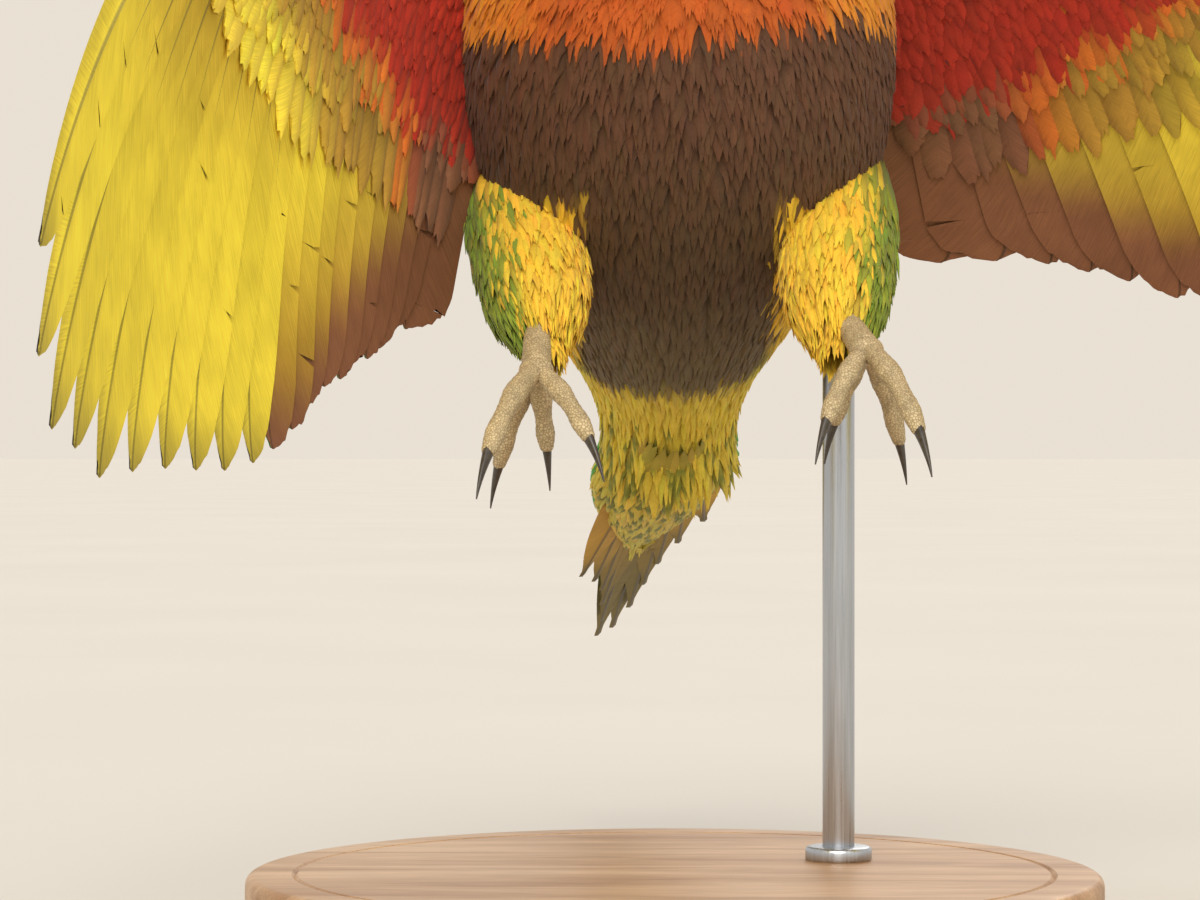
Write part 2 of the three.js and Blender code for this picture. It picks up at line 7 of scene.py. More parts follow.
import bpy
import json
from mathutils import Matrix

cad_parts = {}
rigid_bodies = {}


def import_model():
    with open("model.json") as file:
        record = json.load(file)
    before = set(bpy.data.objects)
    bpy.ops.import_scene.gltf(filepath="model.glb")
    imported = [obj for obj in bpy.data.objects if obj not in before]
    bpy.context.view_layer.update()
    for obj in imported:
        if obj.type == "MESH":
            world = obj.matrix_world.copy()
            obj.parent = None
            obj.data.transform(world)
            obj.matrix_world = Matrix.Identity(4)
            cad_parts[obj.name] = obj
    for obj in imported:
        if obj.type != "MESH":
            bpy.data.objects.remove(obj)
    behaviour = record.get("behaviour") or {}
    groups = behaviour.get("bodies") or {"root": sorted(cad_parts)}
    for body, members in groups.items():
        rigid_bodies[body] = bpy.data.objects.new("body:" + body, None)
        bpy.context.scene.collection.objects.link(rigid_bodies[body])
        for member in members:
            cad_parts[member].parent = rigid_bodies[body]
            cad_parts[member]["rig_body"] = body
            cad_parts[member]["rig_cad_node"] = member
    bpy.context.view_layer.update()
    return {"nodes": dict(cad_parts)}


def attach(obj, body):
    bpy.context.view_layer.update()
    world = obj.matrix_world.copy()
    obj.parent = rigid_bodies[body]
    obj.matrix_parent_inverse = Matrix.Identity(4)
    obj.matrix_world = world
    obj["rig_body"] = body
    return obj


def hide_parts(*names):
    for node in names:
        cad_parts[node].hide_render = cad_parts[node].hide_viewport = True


bl_info = {
    "name": "Rainbow Lorikeet",
    "version": (1, 0, 0),
    "blender": (4, 5, 0),
    "location": "View3D > Sidebar > Lorikeet",
    "description": "Builds the plumage, bare parts and stand of a life-size lorikeet model",
    "category": "Object",
}

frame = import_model()

import json
import math
from contextlib import contextmanager
from types import SimpleNamespace

import bpy
import numpy as np
from bpy.props import FloatProperty, FloatVectorProperty, IntProperty, PointerProperty
from mathutils import Matrix, Quaternion, Vector, kdtree

NODES = frame["nodes"]
MM = 0.001
BAKE_MAP = "OFBake"
VANE_MAP = "Vane"
PLUMAGE = "Plumage"
DEPTH_GROUP = "Coat depth"

# Sizes shared with the part, in millimetres. Angles are in degrees.
TAIL_ROOT = np.array([0.0, 47.0, 77.0])
TRUNK_PITCH = 55
TRUNK_LENGTH = 85
BILL_BASE = np.array([0.0, -52.0, 178.0])
HEAD_PITCH = -5
NECK_BEND = 28
SIDE_STATIONS = [
    (0, 8), (10, 12), (25, 20.5), (45, 30.5), (65, 34), (85, 32.5), (100, 26), (112, 19), (124, 15.8),
    (134, 15.2), (141, 13), (146, 9.8), (149, 6.9),
]
BACK_STATIONS = [
    (0, 7), (10, 10.5), (25, 17.5), (45, 25), (65, 28), (85, 27), (100, 22), (112, 17.5), (124, 16.2),
    (134, 15.8), (141, 13.9), (146, 11.3), (149, 8.7),
]
BELLY_STATIONS = [
    (0, 7.5), (10, 11.5), (25, 19.5), (45, 28), (65, 31), (85, 30), (100, 26), (112, 19), (124, 15),
    (134, 13.6), (141, 12.2), (146, 10.6), (149, 9),
]
EYE_AT, EYE_RISE, EYE_RADIUS, EYE_PROUD = 137, 4.2, 4.0, 1.2
# The feathers' surface goes on round the bill's root and over the tail's root.
VENT_END, FACE_END = -30, 152.8
COAT_SIDE = [(-14, 12.9), (0, 11.2), (10, 13), *SIDE_STATIONS[2:], (151, 6.1), (FACE_END, 4.4)]
COAT_BACK = [(-14, 7.4), (0, 8), *BACK_STATIONS[1:], (151, 8.0), (FACE_END, 6.4)]
COAT_BELLY = [(-14, 10.4), (-6, 9.4), (0, 9), *BELLY_STATIONS[1:], (151, 8.4), (FACE_END, 6.8)]
UPPER_BILL = {
    "line": [(-5, 2.4), (4, 2.6), (10.8, -0.8), (14.4, -5.8), (15.2, -11)],
    "half_widths": [(0, 6.2), (0.3, 5.4), (0.6, 3.9), (0.85, 1.9), (1, 0.5)],
    "half_heights": [(0, 5.6), (0.3, 5.3), (0.6, 3.9), (0.85, 1.8), (1, 0.5)],
}
LOWER_BILL = {
    "line": [(-5, -4.2), (2, -4.6), (8, -5.9), (11.8, -6.8)],
    "half_widths": [(0, 5.2), (0.5, 4.3), (0.85, 2.8), (1, 1.4)],
    "half_heights": [(0, 4.3), (0.5, 3.6), (0.85, 2.2), (1, 0.9)],
}
SHOULDER = (23, 8, 156)
WING_REACH = 205
HAND_END = 101
CAMBER = 0.0011
WINGS = {
    "left": {"side": 1, "sweep": (24, 44), "droop": (-20, 40), "pitch": (47, 56), "inner": 112},
    "right": {"side": -1, "sweep": (55, 87), "droop": (-20, 34), "pitch": (82, 80), "inner": 95},
}
WING_FRONT = [(0, -2), (20, -3), (45, -4), (62, -4.5), (80, -3), (101, 2.5)]
WING_REAR = [(0, 46), (20, 46), (45, 44), (62, 40), (80, 32), (101, 15)]
WING_THICK = [(0, 9), (20, 8.5), (45, 7), (62, 5.5), (80, 4), (101, 2)]
REAR_THICKNESS = 1.6
PRIMARIES = {
    "root": ((60, 12), (88, 7)),
    "angles": (66, 8),
    "lengths": (84, 88, 92, 96, 101, 106, 110, 113, 112, 105),
    "half_widths": (9, 7),
    "tip": 0.3,
}
SECONDARIES = {
    "root": ((6, 18), (57, 13)),
    "angles": (None, 70),
    "lengths": (50, 53, 56, 59, 62, 65, 68, 72, 76, 80),
    "half_widths": (10, 9.5),
    "tip": 0.16,
}
TAIL_SLOPE, TAIL_SWING, TAIL_ROLL = 18, 5, 24
TAIL_LENGTHS = (125, 108, 93, 80, 69, 59)
TAIL_ANGLES = (0.4, 0.9, 1.5, 2.4, 4.6, 8.5)
TAIL_HALF_WIDTHS = (6.2, 6.2, 6.2, 6.2, 6, 6)
TAIL_LAYER, TAIL_GAP, TAIL_SPREAD, TAIL_ARCH = 0.28, 1.0, (0.8, 0.55), 0.004
COVERT_SPAN = (-8, 62)
COVERT_SIDE, COVERT_ABOVE, COVERT_BELOW = (8, 12.5, 3), (7, 6, 1.2), (8, 10, 1.8)
# Each toe's way is given outward, forward and down.
LEGS = {
    "left": {
        "side": 1,
        "hip": (25.5, 12, 116),
        "ankle": (24, -13.5, 92),
        "sole": (27.5, -25, 88.5),
        "toes": {
            "inner_front": (-0.42, 0.73, 0.45),
            "outer_front": (0.3, 0.83, 0.35),
            "inner_hind": (-0.3, -0.55, 0.55),
            "outer_hind": (0.32, -0.75, 0.5),
        },
    },
    "right": {
        "side": -1,
        "hip": (24, 12, 116),
        "ankle": (20, -13.5, 92),
        "sole": (20.5, -26, 85.5),
        "toes": {
            "inner_front": (-0.5, 0.7, 0.42),
            "outer_front": (0.32, 0.84, 0.36),
            "inner_hind": (-0.1, -0.55, 0.6),
            "outer_hind": (0.3, -0.7, 0.5),
        },
    },
}
THIGH_RADII = [(0, 9), (0.35, 8.8), (0.7, 7.7), (0.88, 6.4), (1, 4)]
THIGH_FLATNESS = 0.95
THIGH_COAT = [(0, 9), (0.35, 8.9), (0.7, 8.3), (0.88, 7.5), (1, 6), (1.14, 3.6), (1.3, 1.9)]
# The length, claw's length and radius of each toe.
TOES = {
    "inner_front": (15, 6.5, 1.5),
    "outer_front": (20, 7, 1.6),
    "inner_hind": (12, 6, 1.5),
    "outer_hind": (18, 6.5, 1.5),
}
TOE_CURL, CLAW_HOOK = 0.24, 0.9
BASE_RADIUS, BASE_HEIGHT, BASE_CHAMFER = 65, 10, 1.5
ROD_RADIUS, ROD_X, ROD_Y, ROD_FOOT, ROD_TOP = 2.5, 26, 15, 4, 112

# Sizes and shades of the visual model alone. The bill's tip is measured from the bill's base, and the
# pupil and the iris each end between two radii, in metres, where one shade fades into the next.
BILL_TIP = (0, -14.2, -12.3)
PUPIL_EDGE, IRIS_EDGE = (0.0014, 0.00152), (0.0023, 0.0027)
PUPIL_BLACK, EYE_RIM_BLACK = (0.004, 0.004, 0.004, 1), (0.012, 0.009, 0.008, 1)
GRAIN_TURN = 0.35
HEAD_RADIUS = 15
COVERT_GIRTH = (8, 12, 3)
# The wing's small feathers: how far they hang over its front, how thickly they cover its flat rear part,
# how far back their rows go as a share of its depth, and that depth at the arm.
WING_LIP, WING_COVER, WING_ROWS_END, WING_DEPTH = 0.8, 0.75, 0.74, 43
# Columns of points before and behind a flight feather's shaft.
LEADING, TRAILING = 4, 6
# The sheen and the gap between barbs, in millimetres, of each kind of small feather.
PLUMAGE_LOOKS = {"Body plumage": (0.1, 0.25), "Wing plumage": (0.08, 0.3)}
# Every small feather has a place of its own in a square map, inside a margin.
MAP_EDGE, MAP_SPAN, MAP_PATCH = 0.02, 0.95, 0.0028
# The camera's lens, sensor and place to the side in millimetres, and the floor's size in metres.
LENS, SENSOR_WIDTH, CAMERA_X, FLOOR_SIZE = 112, 36, -11.25, 60
FULL_TURN = 2 * math.pi


# Settings


def from_hex(text):
    """A #RRGGBB colour as Blender's linear red, green and blue."""
    shares = (int(text[i : i + 2], 16) / 255 for i in (1, 3, 5))
    return tuple(c / 12.92 if c <= 0.04045 else ((c + 0.055) / 1.055) ** 2.4 for c in shares)


def tint(name, text, description):
    """A colour setting, given as #RRGGBB."""
    return FloatVectorProperty(
        name=name, description=description, subtype="COLOR", size=3, min=0, max=1, default=from_hex(text)
    )


def millimetres(name, value, description):
    """A setting for a length."""
    return FloatProperty(
        name=name, description=description, default=value * MM, min=0, subtype="DISTANCE", unit="LENGTH"
    )


def share(name, value, description):
    """A setting between none and all."""
    return FloatProperty(name=name, description=description, default=value, min=0, max=1, subtype="FACTOR")


class LorikeetPlumageColours(bpy.types.PropertyGroup):
    head: tint("Head", "#24358C", "Blue of the crown, cheeks and throat")
    streak: tint("Head streaks", "#6E9BEC", "Pale blue shafts on the head")
    lore: tint("Forehead", "#1B2560", "Dark blue round the bill")
    collar: tint("Collar", "#A9C23C", "Yellow-green band across the nape")
    breast: tint("Breast", "#BE4218", "Orange-red of the upper breast")
    breast_edge: tint("Breast edge", "#C05C20", "Orange of the breast's lower edge")
    breast_side: tint("Breast sides", "#DB8F2A", "Yellow-orange at the breast's sides")
    belly_top: tint("Upper belly", "#60402C", "Warm dark brown under the breast")
    belly: tint("Belly", "#523E28", "Dark brown of the belly")
    # The lowest belly is olive-brown, and lighter than the belly partly as painted light from below.
    belly_low: tint("Lower belly", "#67593D", "Olive-brown of the lowest belly")
    flank: tint("Flank edge", "#A3A036", "Olive-yellow along the lower flanks")
    vent: tint("Vent", "#DAC544", "Yellow-green under the tail")
    vent_spot: tint("Vent marks", "#4A6428", "Dark green marks under the tail")
    thigh: tint("Thigh", "#E6BE38", "Yellow of the thighs")
    thigh_edge: tint("Thigh edge", "#7E8F2F", "Green of the thighs' outer edge")
    back: tint("Back", "#2F8A30", "Green of the back")
    rump: tint("Rump", "#4FA034", "Brighter green of the rump")
    wing_green: tint("Wing green", "#2A7A34", "Green of the wing's upper side")
    wing_red: tint("Underwing red", "#B4321F", "Red of the small feathers under the wing")
    wing_orange: tint("Underwing orange", "#D9742A", "Orange where the red meets the yellow")
    # The underwing yellow is the wing's own yellow, made bright as painted light shining through the vanes.
    wing_yellow: tint("Underwing yellow", "#FAE446", "Yellow under the flight feathers")
    wing_mustard: tint("Underwing mustard", "#B58E34", "Duller yellow nearer to the body")
    wing_brown: tint("Underwing brown", "#86593E", "Brown under the inner flight feathers")
    wing_dusk: tint("Feather tips", "#6F6238", "Dusky tips of the flight feathers")
    wing_dark: tint("Dark vanes", "#2A2620", "Hidden dark part of a flight feather's upper side")
    tail_green: tint("Tail", "#3C8430", "Green of the tail's upper side")
    tail_olive: tint("Tail underside", "#76652F", "Olive-brown under the middle tail feathers")
    tail_yellow: tint("Tail lobes", "#BE9430", "Yellow-orange under the outer tail feathers")
    shaft: tint("Shafts", "#3A2F22", "Shafts of the flight and tail feathers")


class LorikeetBareColours(bpy.types.PropertyGroup):
    bill: tint("Bill", "#D63A18", "Orange-red of the bill")
    bill_tip: tint("Bill tip", "#F0A93C", "Paler tip of the bill")
    face_skin: tint("Face skin", "#161D44", "Skin under the smallest feathers of the face")
    cere: tint("Cere", "#332F30", "Bare skin over the nostrils")
    eye_ring: tint("Eye ring", "#2F2C2D", "Bare skin and lids round the eye")
    iris: tint("Iris", "#B02E0C", "Orange-red of the iris")
    foot: tint("Feet", "#C9B68C", "Tan of the shanks and toes")
    foot_groove: tint("Foot grooves", "#94805F", "Darker skin between the scales of the feet")
    claw: tint("Claws", "#3B352E", "Dark horn of the claws")


class LorikeetPlumageSizes(bpy.types.PropertyGroup):
    coat_depth: millimetres("Coat depth", 1.7, "How deep the skin lies under the tips of the body feathers")
    skin_grain: millimetres("Skin detail", 1.0, "Size of the cells from which the skin is made")
    head_vane: millimetres("Head feathers", 5.0, "Length of the feathers of the hind crown")
    body_vane: millimetres("Body feathers", 11.0, "Length of the feathers of the breast, belly and back")
    thigh_vane: millimetres("Thigh feathers", 13.0, "Length of the feathers of the thighs")
    covert_vane: millimetres("Small wing feathers", 8.0, "Length of the smallest feathers of the wings")
    tail_covert: millimetres("Tail coverts", 19.0, "Length of the feathers that cover the tail's root")
    fray: share("Fray", 0.1, "How deeply the tips of the small feathers are split")
    disorder: share("Disorder", 0.35, "How far the small feathers stray from their rows")
    seed: IntProperty(name="Seed", description="Start of the random draws", default=7, min=0)


class LorikeetStandSettings(bpy.types.PropertyGroup):
    wood: tint("Wood", "#C39A6B", "Pale wood of the base")
    grain: tint("Wood grain", "#8F6238", "Darker rings of the wood")
    steel: tint("Steel", "#B9BDC2", "Steel of the rod")
    floor: tint("Floor", "#CDC8C0", "Pale floor")
    camera_distance: millimetres("Camera distance", 568, "How far in front of the origin the camera stands")
    camera_height: millimetres("Camera height", 74, "How high the camera stands")
    key_light: FloatProperty(
        name="Main light", description="Strength of the main light, in W/m²", default=2.2, min=0
    )


def palette():
    """The plumage's colours as arrays, by name."""
    held = bpy.context.scene.lorikeet_colours
    names = LorikeetPlumageColours.__annotations__
    return SimpleNamespace(**{name: np.array(getattr(held, name)) for name in names})


def draws(offset):
    """Random draws for one piece, from the seed that the user sets and the piece's own offset."""
    return np.random.default_rng(bpy.context.scene.lorikeet_sizes.seed + offset)


# Shapes shared with the part


def smooth_through(pairs, x):
    """A smooth curve through (x, value) pairs, by Hermite pieces."""
    xs, ys = np.array(pairs, float).T
    slopes = np.empty_like(ys)
    slopes[1:-1] = (ys[2:] - ys[:-2]) / (xs[2:] - xs[:-2])
    slopes[0] = (ys[1] - ys[0]) / (xs[1] - xs[0])
    slopes[-1] = (ys[-1] - ys[-2]) / (xs[-1] - xs[-2])
    x = np.clip(x, xs[0], xs[-1])
    i = np.clip(np.searchsorted(xs, x) - 1, 0, len(xs) - 2)
    span = xs[i + 1] - xs[i]
    t = (x - xs[i]) / span
    rise, ease = t * t * (3 - 2 * t), t * (1 - t)
    return ys[i] + (ys[i + 1] - ys[i]) * rise + span * ease * ((1 - t) * slopes[i] - t * slopes[i + 1])


def mix(a, b, t):
    """a where t is 0 and b where it is 1. Colours mix row by row."""
    a, b, t = np.asarray(a, float), np.asarray(b, float), np.asarray(t, float)
    if (a.ndim and a.shape[-1:] == (3,)) or (b.ndim and b.shape[-1:] == (3,)):
        t = t[..., None]
    return a + (b - a) * t


def step(low, high, x):
    """Rises smoothly from 0 at low to 1 at high."""
    t = np.clip((np.asarray(x, float) - low) / (high - low), 0, 1)
    return t * t * (3 - 2 * t)


def unit(v):
    """Vectors of the same way, one long."""
    return v / np.linalg.norm(v, axis=-1, keepdims=True)


def on_side(side, point):
    """A point whose x is given outward from the plane of symmetry, at the left (1) or the right (-1)."""
    return np.array([side * point[0], *point[1:]], float)


def heading(degrees):
    """The way in the plane of symmetry that rises by that angle from straight ahead."""
    return np.array([0, -math.cos(math.radians(degrees)), math.sin(math.radians(degrees))])


def spine_table():
    """Distances along the spine with the places and ways there."""
    root = TAIL_ROOT + TRUNK_LENGTH * heading(TRUNK_PITCH)
    straight = TAIL_ROOT + np.linspace(0, TRUNK_LENGTH, 200)[:, None] * heading(TRUNK_PITCH)
    t = np.linspace(0, 1, 400)[1:, None]
    near = root + NECK_BEND * heading(TRUNK_PITCH)
    far = BILL_BASE - NECK_BEND * heading(HEAD_PITCH)
    bent = (1 - t) ** 3 * root + 3 * t * (1 - t) ** 2 * near + 3 * t * t * (1 - t) * far + t**3 * BILL_BASE
    behind, place = [], TAIL_ROOT
    for back in range(-VENT_END):
        place = place - heading(TAIL_SLOPE + (TRUNK_PITCH - TAIL_SLOPE) * float(step(14, 0, back + 0.5)))
        behind.append(place)
    places = np.vstack([behind[::-1], straight, bent])
    distances = VENT_END + np.concatenate([[0], np.cumsum(np.linalg.norm(np.diff(places, axis=0), axis=1))])
    ways = unit(np.gradient(places, distances, axis=0))
    return distances, places, ways


SPINE = spine_table()
SPINE_LENGTH = SPINE[0][-1]


def spine_frame(distance):
    """The spine's places, ways forward and ways up at distances along it."""
    distance = np.asarray(distance, float)
    held = np.clip(distance, VENT_END, SPINE_LENGTH)
    place = np.stack([np.interp(held, SPINE[0], SPINE[1][:, i]) for i in range(3)], -1)
    way = unit(np.stack([np.interp(held, SPINE[0], SPINE[2][:, i]) for i in range(3)], -1))
    up = np.stack([np.zeros_like(way[..., 0]), way[..., 2], -way[..., 1]], -1)
    return place + way * (distance - held)[..., None], way, up


def body_point(distance, angle, height=0.0):
    """A point of the body at a distance along the spine and an angle round it, 0 at the bird's left."""
    distance, angle = np.broadcast_arrays(np.asarray(distance, float), np.asarray(angle, float))
    place, _, up = spine_frame(distance)
    rise = np.sin(angle)
    across = smooth_through(COAT_SIDE, distance) + height
    depth = np.where(rise > 0, smooth_through(COAT_BACK, distance), smooth_through(COAT_BELLY, distance))
    point = place + up * ((depth + height) * rise)[..., None]
    point[..., 0] += across * np.cos(angle)
    return point


def wing_line(wing):
    """The posed wing's leading edge: places and ways out, back and up, one row for each millimetre."""
    side, rows, place = wing["side"], [], on_side(wing["side"], SHOULDER)
    for u in range(WING_REACH + 1):
        turn = (u / WING_REACH) ** 2 * (3 - 2 * u / WING_REACH)
        forward, down = (math.radians(mix(*wing[key], math.sqrt(turn))) for key in ("sweep", "droop"))
        tilt = math.radians(mix(*wing["pitch"], turn))
        ahead, level_share = math.sin(forward), math.cos(down)
        out = np.array([side * math.cos(forward) * level_share, -ahead * level_share, -math.sin(down)])
        level = np.array([side * ahead, math.cos(forward), 0])
        above = np.cross(out, level) * side
        back = level * math.cos(tilt) - above * math.sin(tilt)
        up = above * math.cos(tilt) + level * math.sin(tilt)
        rows.append((place, out, back, up))
        place = place + out
    return tuple(np.array(column) for column in zip(*rows))


def bend(line, u, v, w):
    """Carries points of the flat wing, out by u, back by v and up by w, to the posed one."""
    places, outs, backs, ups = line
    i = np.clip(np.floor(u).astype(int), 0, WING_REACH - 1)
    t = u - i
    held = np.clip(t, 0, 1)[..., None]
    between = [rows[i] * (1 - held) + rows[i + 1] * held for rows in (places, backs, ups)]
    beyond = outs[i] * (t[..., None] - held)
    return between[0] + beyond + between[1] * v[..., None] + between[2] * (w - CAMBER * v * v)[..., None]


def tail_frame():
    """The ways to the bird's left, back along the tail and up from it."""
    swing, slope = math.radians(TAIL_SWING), math.radians(TAIL_SLOPE)
    way = Vector((-math.sin(swing) * math.cos(slope), math.cos(swing) * math.cos(slope), -math.sin(slope)))
    side = Matrix.Rotation(-math.radians(TAIL_ROLL), 3, way) @ Vector((math.cos(swing), math.sin(swing), 0))
    return np.array([side, way, side.cross(way)])


TAIL_FRAME = tail_frame()


def tail_point(x, y, z):
    """A point by its place to the left of, back along and up from the tail."""
    return TAIL_ROOT + np.stack(np.broadcast_arrays(x, y, z), -1) @ TAIL_FRAME


# Materials


class Sheet:
    """Adds and links the nodes of one tree."""

    def __init__(self, tree):
        self.tree = tree

    def fill(self, node, inputs):
        """Links sockets to a node's inputs, and sets the inputs that are given as values."""
        for key, value in dict(inputs).items():
            if isinstance(value, bpy.types.NodeSocket):
                self.tree.links.new(value, node.inputs[key])
            else:
                node.inputs[key].default_value = value
        return node

    def add(self, kind, inputs=(), **fields):
        node = self.tree.nodes.new(kind)
        for key, value in fields.items():
            setattr(node, key, value)
        return self.fill(node, inputs)

    def use(self, tree, inputs):
        return self.add("ShaderNodeGroup", inputs, node_tree=tree).outputs

    def math(self, operation, *values):
        return self.add("ShaderNodeMath", enumerate(values), operation=operation).outputs[0]

    def range(self, value, low, high, to_low, to_high):
        inputs = {"Value": value, "From Min": low, "From Max": high, "To Min": to_low, "To Max": to_high}
        return self.add("ShaderNodeMapRange", inputs).outputs["Result"]

    def blend(self, a, b, factor, kind="MIX"):
        node = self.add("ShaderNodeMix", {0: factor, 6: a, 7: b}, data_type="RGBA", blend_type=kind)
        return node.outputs[2]

    def shaded(self, colour, shade):
        """A colour made lighter or darker by a number round 1."""
        return self.blend(colour, self.join(shade, shade, shade), 1.0, "MULTIPLY")

    def join(self, *numbers):
        return self.add("ShaderNodeCombineXYZ", enumerate(numbers)).outputs[0]

    def split(self, vector):
        return self.add("ShaderNodeSeparateXYZ", {0: vector}).outputs

    def noise(self, vector, scale, detail, **more):
        inputs = {"Vector": vector, "Scale": scale, "Detail": detail, **more}
        return self.add("ShaderNodeTexNoise", inputs).outputs[0]

    def cells(self, vector, scale):
        """How far each place is from the border of its cell."""
        inputs = {"Vector": vector, "Scale": scale}
        return self.add("ShaderNodeTexVoronoi", inputs, feature="DISTANCE_TO_EDGE").outputs[0]

    def stretched(self, vector, scale, turn=0.0):
        inputs = {"Vector": vector, "Scale": scale, "Rotation": (0, 0, turn)}
        return self.add("ShaderNodeMapping", inputs).outputs[0]

    def bump(self, height, strength, depth):
        inputs = {"Height": height, "Strength": strength, "Distance": depth * MM}
        return self.add("ShaderNodeBump", inputs).outputs[0]


def group(name, vector, numbers, outputs, build):
    """A shader node group, made once, with one vector input, number inputs and number outputs."""
    if name in bpy.data.node_groups:
        return bpy.data.node_groups[name]
    tree = bpy.data.node_groups.new(name, "ShaderNodeTree")
    tree.interface.new_socket(vector, in_out="INPUT", socket_type="NodeSocketVector")
    for title, default in numbers.items():
        socket = tree.interface.new_socket(title, in_out="INPUT", socket_type="NodeSocketFloat")
        socket.default_value = default
    for title in outputs:
        tree.interface.new_socket(title, in_out="OUTPUT", socket_type="NodeSocketFloat")
    sheet = Sheet(tree)
    source, sink = sheet.add("NodeGroupInput"), sheet.add("NodeGroupOutput")
    sheet.fill(sink, build(sheet, source.outputs))
    return tree


def material(name, build):
    """A node material, made once. build gets the sheet and the object coordinates, and gives the inputs."""
    if name in bpy.data.materials:
        return bpy.data.materials[name]
    made = bpy.data.materials.new(name)
    made.use_nodes = True
    sheet = Sheet(made.node_tree)
    place = sheet.add("ShaderNodeTexCoord").outputs["Object"]
    sheet.fill(made.node_tree.nodes["Principled BSDF"], build(sheet, place))
    return made


def colour4(rgb):
    """A colour with full opacity."""
    return (*rgb, 1.0)


def barbs():
    """Fine barbs that leave a feather's shaft at a slant, from its own map in tenths of a millimetre."""

    def build(sheet, given):
        along, off_shaft, _ = sheet.split(given["Vane"])
        across = sheet.math("ABSOLUTE", off_shaft)
        run = sheet.math("SUBTRACT", along, sheet.math("MULTIPLY", across, 0.9))
        fine = sheet.math("DIVIDE", run, given["Spacing"])
        side = sheet.math("SIGN", off_shaft)
        place = sheet.join(fine, sheet.math("MULTIPLY", across, 1.6), side)
        noise = sheet.noise(place, 1.0, 2.0, Roughness=0.6)
        shaft = sheet.range(across, given["Shaft"], sheet.math("MULTIPLY", given["Shaft"], 0.4), 0, 1)
        low, high = (sheet.math(operation, 1.0, given["Depth"]) for operation in ("SUBTRACT", "ADD"))
        return {
            "Shade": sheet.range(noise, 0.3, 0.7, low, high),
            "Height": sheet.math("ADD", noise, sheet.math("MULTIPLY", shaft, 0.6)),
            "Shaft": shaft,
        }

    numbers = {"Spacing": 0.03, "Shaft": 0.02, "Depth": 0.2}
    return group("Barbs", "Vane", numbers, ("Shade", "Height", "Shaft"), build)


def mottle():
    """A soft change of shade over a surface."""

    def build(sheet, given):
        noise = sheet.noise(given["Place"], given["Scale"], 4.0)
        low, high = (sheet.math(operation, 1.0, given["Amount"]) for operation in ("SUBTRACT", "ADD"))
        return {"Shade": sheet.range(noise, 0.3, 0.7, low, high), "Height": noise}

    return group("Mottle", "Place", {"Scale": 100.0, "Amount": 0.1}, ("Shade", "Height"), build)


def painted_vanes(sheet, place, barb, broad):
    """The painted colour with barbs and broad shades over it, and the barbs themselves."""
    paint = sheet.add("ShaderNodeVertexColor", layer_name=PLUMAGE).outputs["Color"]
    vane = sheet.add("ShaderNodeUVMap", uv_map=VANE_MAP).outputs[0]
    fine = sheet.use(barbs(), {"Vane": vane, **barb})
    wide = sheet.use(mottle(), {"Place": place, **broad})
    return sheet.shaded(paint, sheet.math("MULTIPLY", fine["Shade"], wide["Shade"])), fine


def plumage_material(name):
    """Soft small feathers: their painted colour, fine barbs and a faint sheen."""
    sheen, spacing = PLUMAGE_LOOKS[name]

    def build(sheet, place):
        barb = {"Spacing": spacing * 0.1, "Shaft": 0.01, "Depth": 0.16}
        colour, fine = painted_vanes(sheet, place, barb, {"Scale": 260.0, "Amount": 0.08})
        return {
            "Base Color": colour,
            "Roughness": sheet.range(fine["Height"], 0.2, 0.9, 0.8, 0.62),
            "Normal": sheet.bump(fine["Height"], 0.4, 0.08),
            "Specular IOR Level": 0.25,
            "Sheen Weight": sheen,
            "Sheen Roughness": 0.5,
        }

    return material(name, build)


def quill_material(shaft_colour):
    """Flight and tail feathers: painted vanes, slanting barbs and a glossy shaft."""

    def build(sheet, place):
        barb = {"Spacing": 0.03, "Shaft": 0.045, "Depth": 0.17}
        colour, fine = painted_vanes(sheet, place, barb, {"Scale": 120.0, "Amount": 0.1})
        on_shaft = sheet.math("MULTIPLY", fine["Shaft"], 0.6)
        return {
            "Base Color": sheet.blend(colour, colour4(shaft_colour), on_shaft),
            "Roughness": sheet.range(fine["Shaft"], 0, 1, 0.62, 0.42),
            "Normal": sheet.bump(fine["Height"], 0.45, 0.12),
            "Specular IOR Level": 0.2,
        }

    return material("Flight feathers", build)


def skin_material():
    """The downy skin that shows between the feathers."""

    def build(sheet, place):
        paint = sheet.add("ShaderNodeVertexColor", layer_name=PLUMAGE).outputs["Color"]
        down = sheet.use(mottle(), {"Place": place, "Scale": 900.0, "Amount": 0.25})
        return {
            "Base Color": sheet.shaded(paint, down["Shade"]),
            "Normal": sheet.bump(down["Height"], 0.6, 0.3),
            "Roughness": 0.85,
            "Specular IOR Level": 0.2,
        }

    return material("Downy skin", build)


def bill_material():
    """Smooth horn, orange-red and paler at the tip, with faint growth lines."""
    bare = bpy.context.scene.lorikeet_bare

    def build(sheet, place):
        tip_place = tuple((BILL_BASE + BILL_TIP) * MM)
        tip = sheet.add("ShaderNodeVectorMath", {0: place, 1: tip_place}, operation="DISTANCE")
        near = sheet.range(tip.outputs["Value"], 0.0, 0.0085, 1, 0)
        lines = sheet.noise(sheet.stretched(place, (900, 160, 300)), 1.0, 3.0)
        broad = sheet.use(mottle(), {"Place": place, "Scale": 350.0, "Amount": 0.12})
        horn = sheet.blend(colour4(bare.bill), colour4(bare.bill_tip), near)
        return {
            "Base Color": sheet.shaded(horn, broad["Shade"]),
            "Roughness": sheet.range(lines, 0.3, 0.7, 0.24, 0.4),
            "Normal": sheet.bump(lines, 0.3, 0.12),
            "Subsurface Weight": 0.08,
            "Subsurface Scale": 0.002,
            "Coat Roughness": 0.2,
        }

    return material("Bill horn", build)


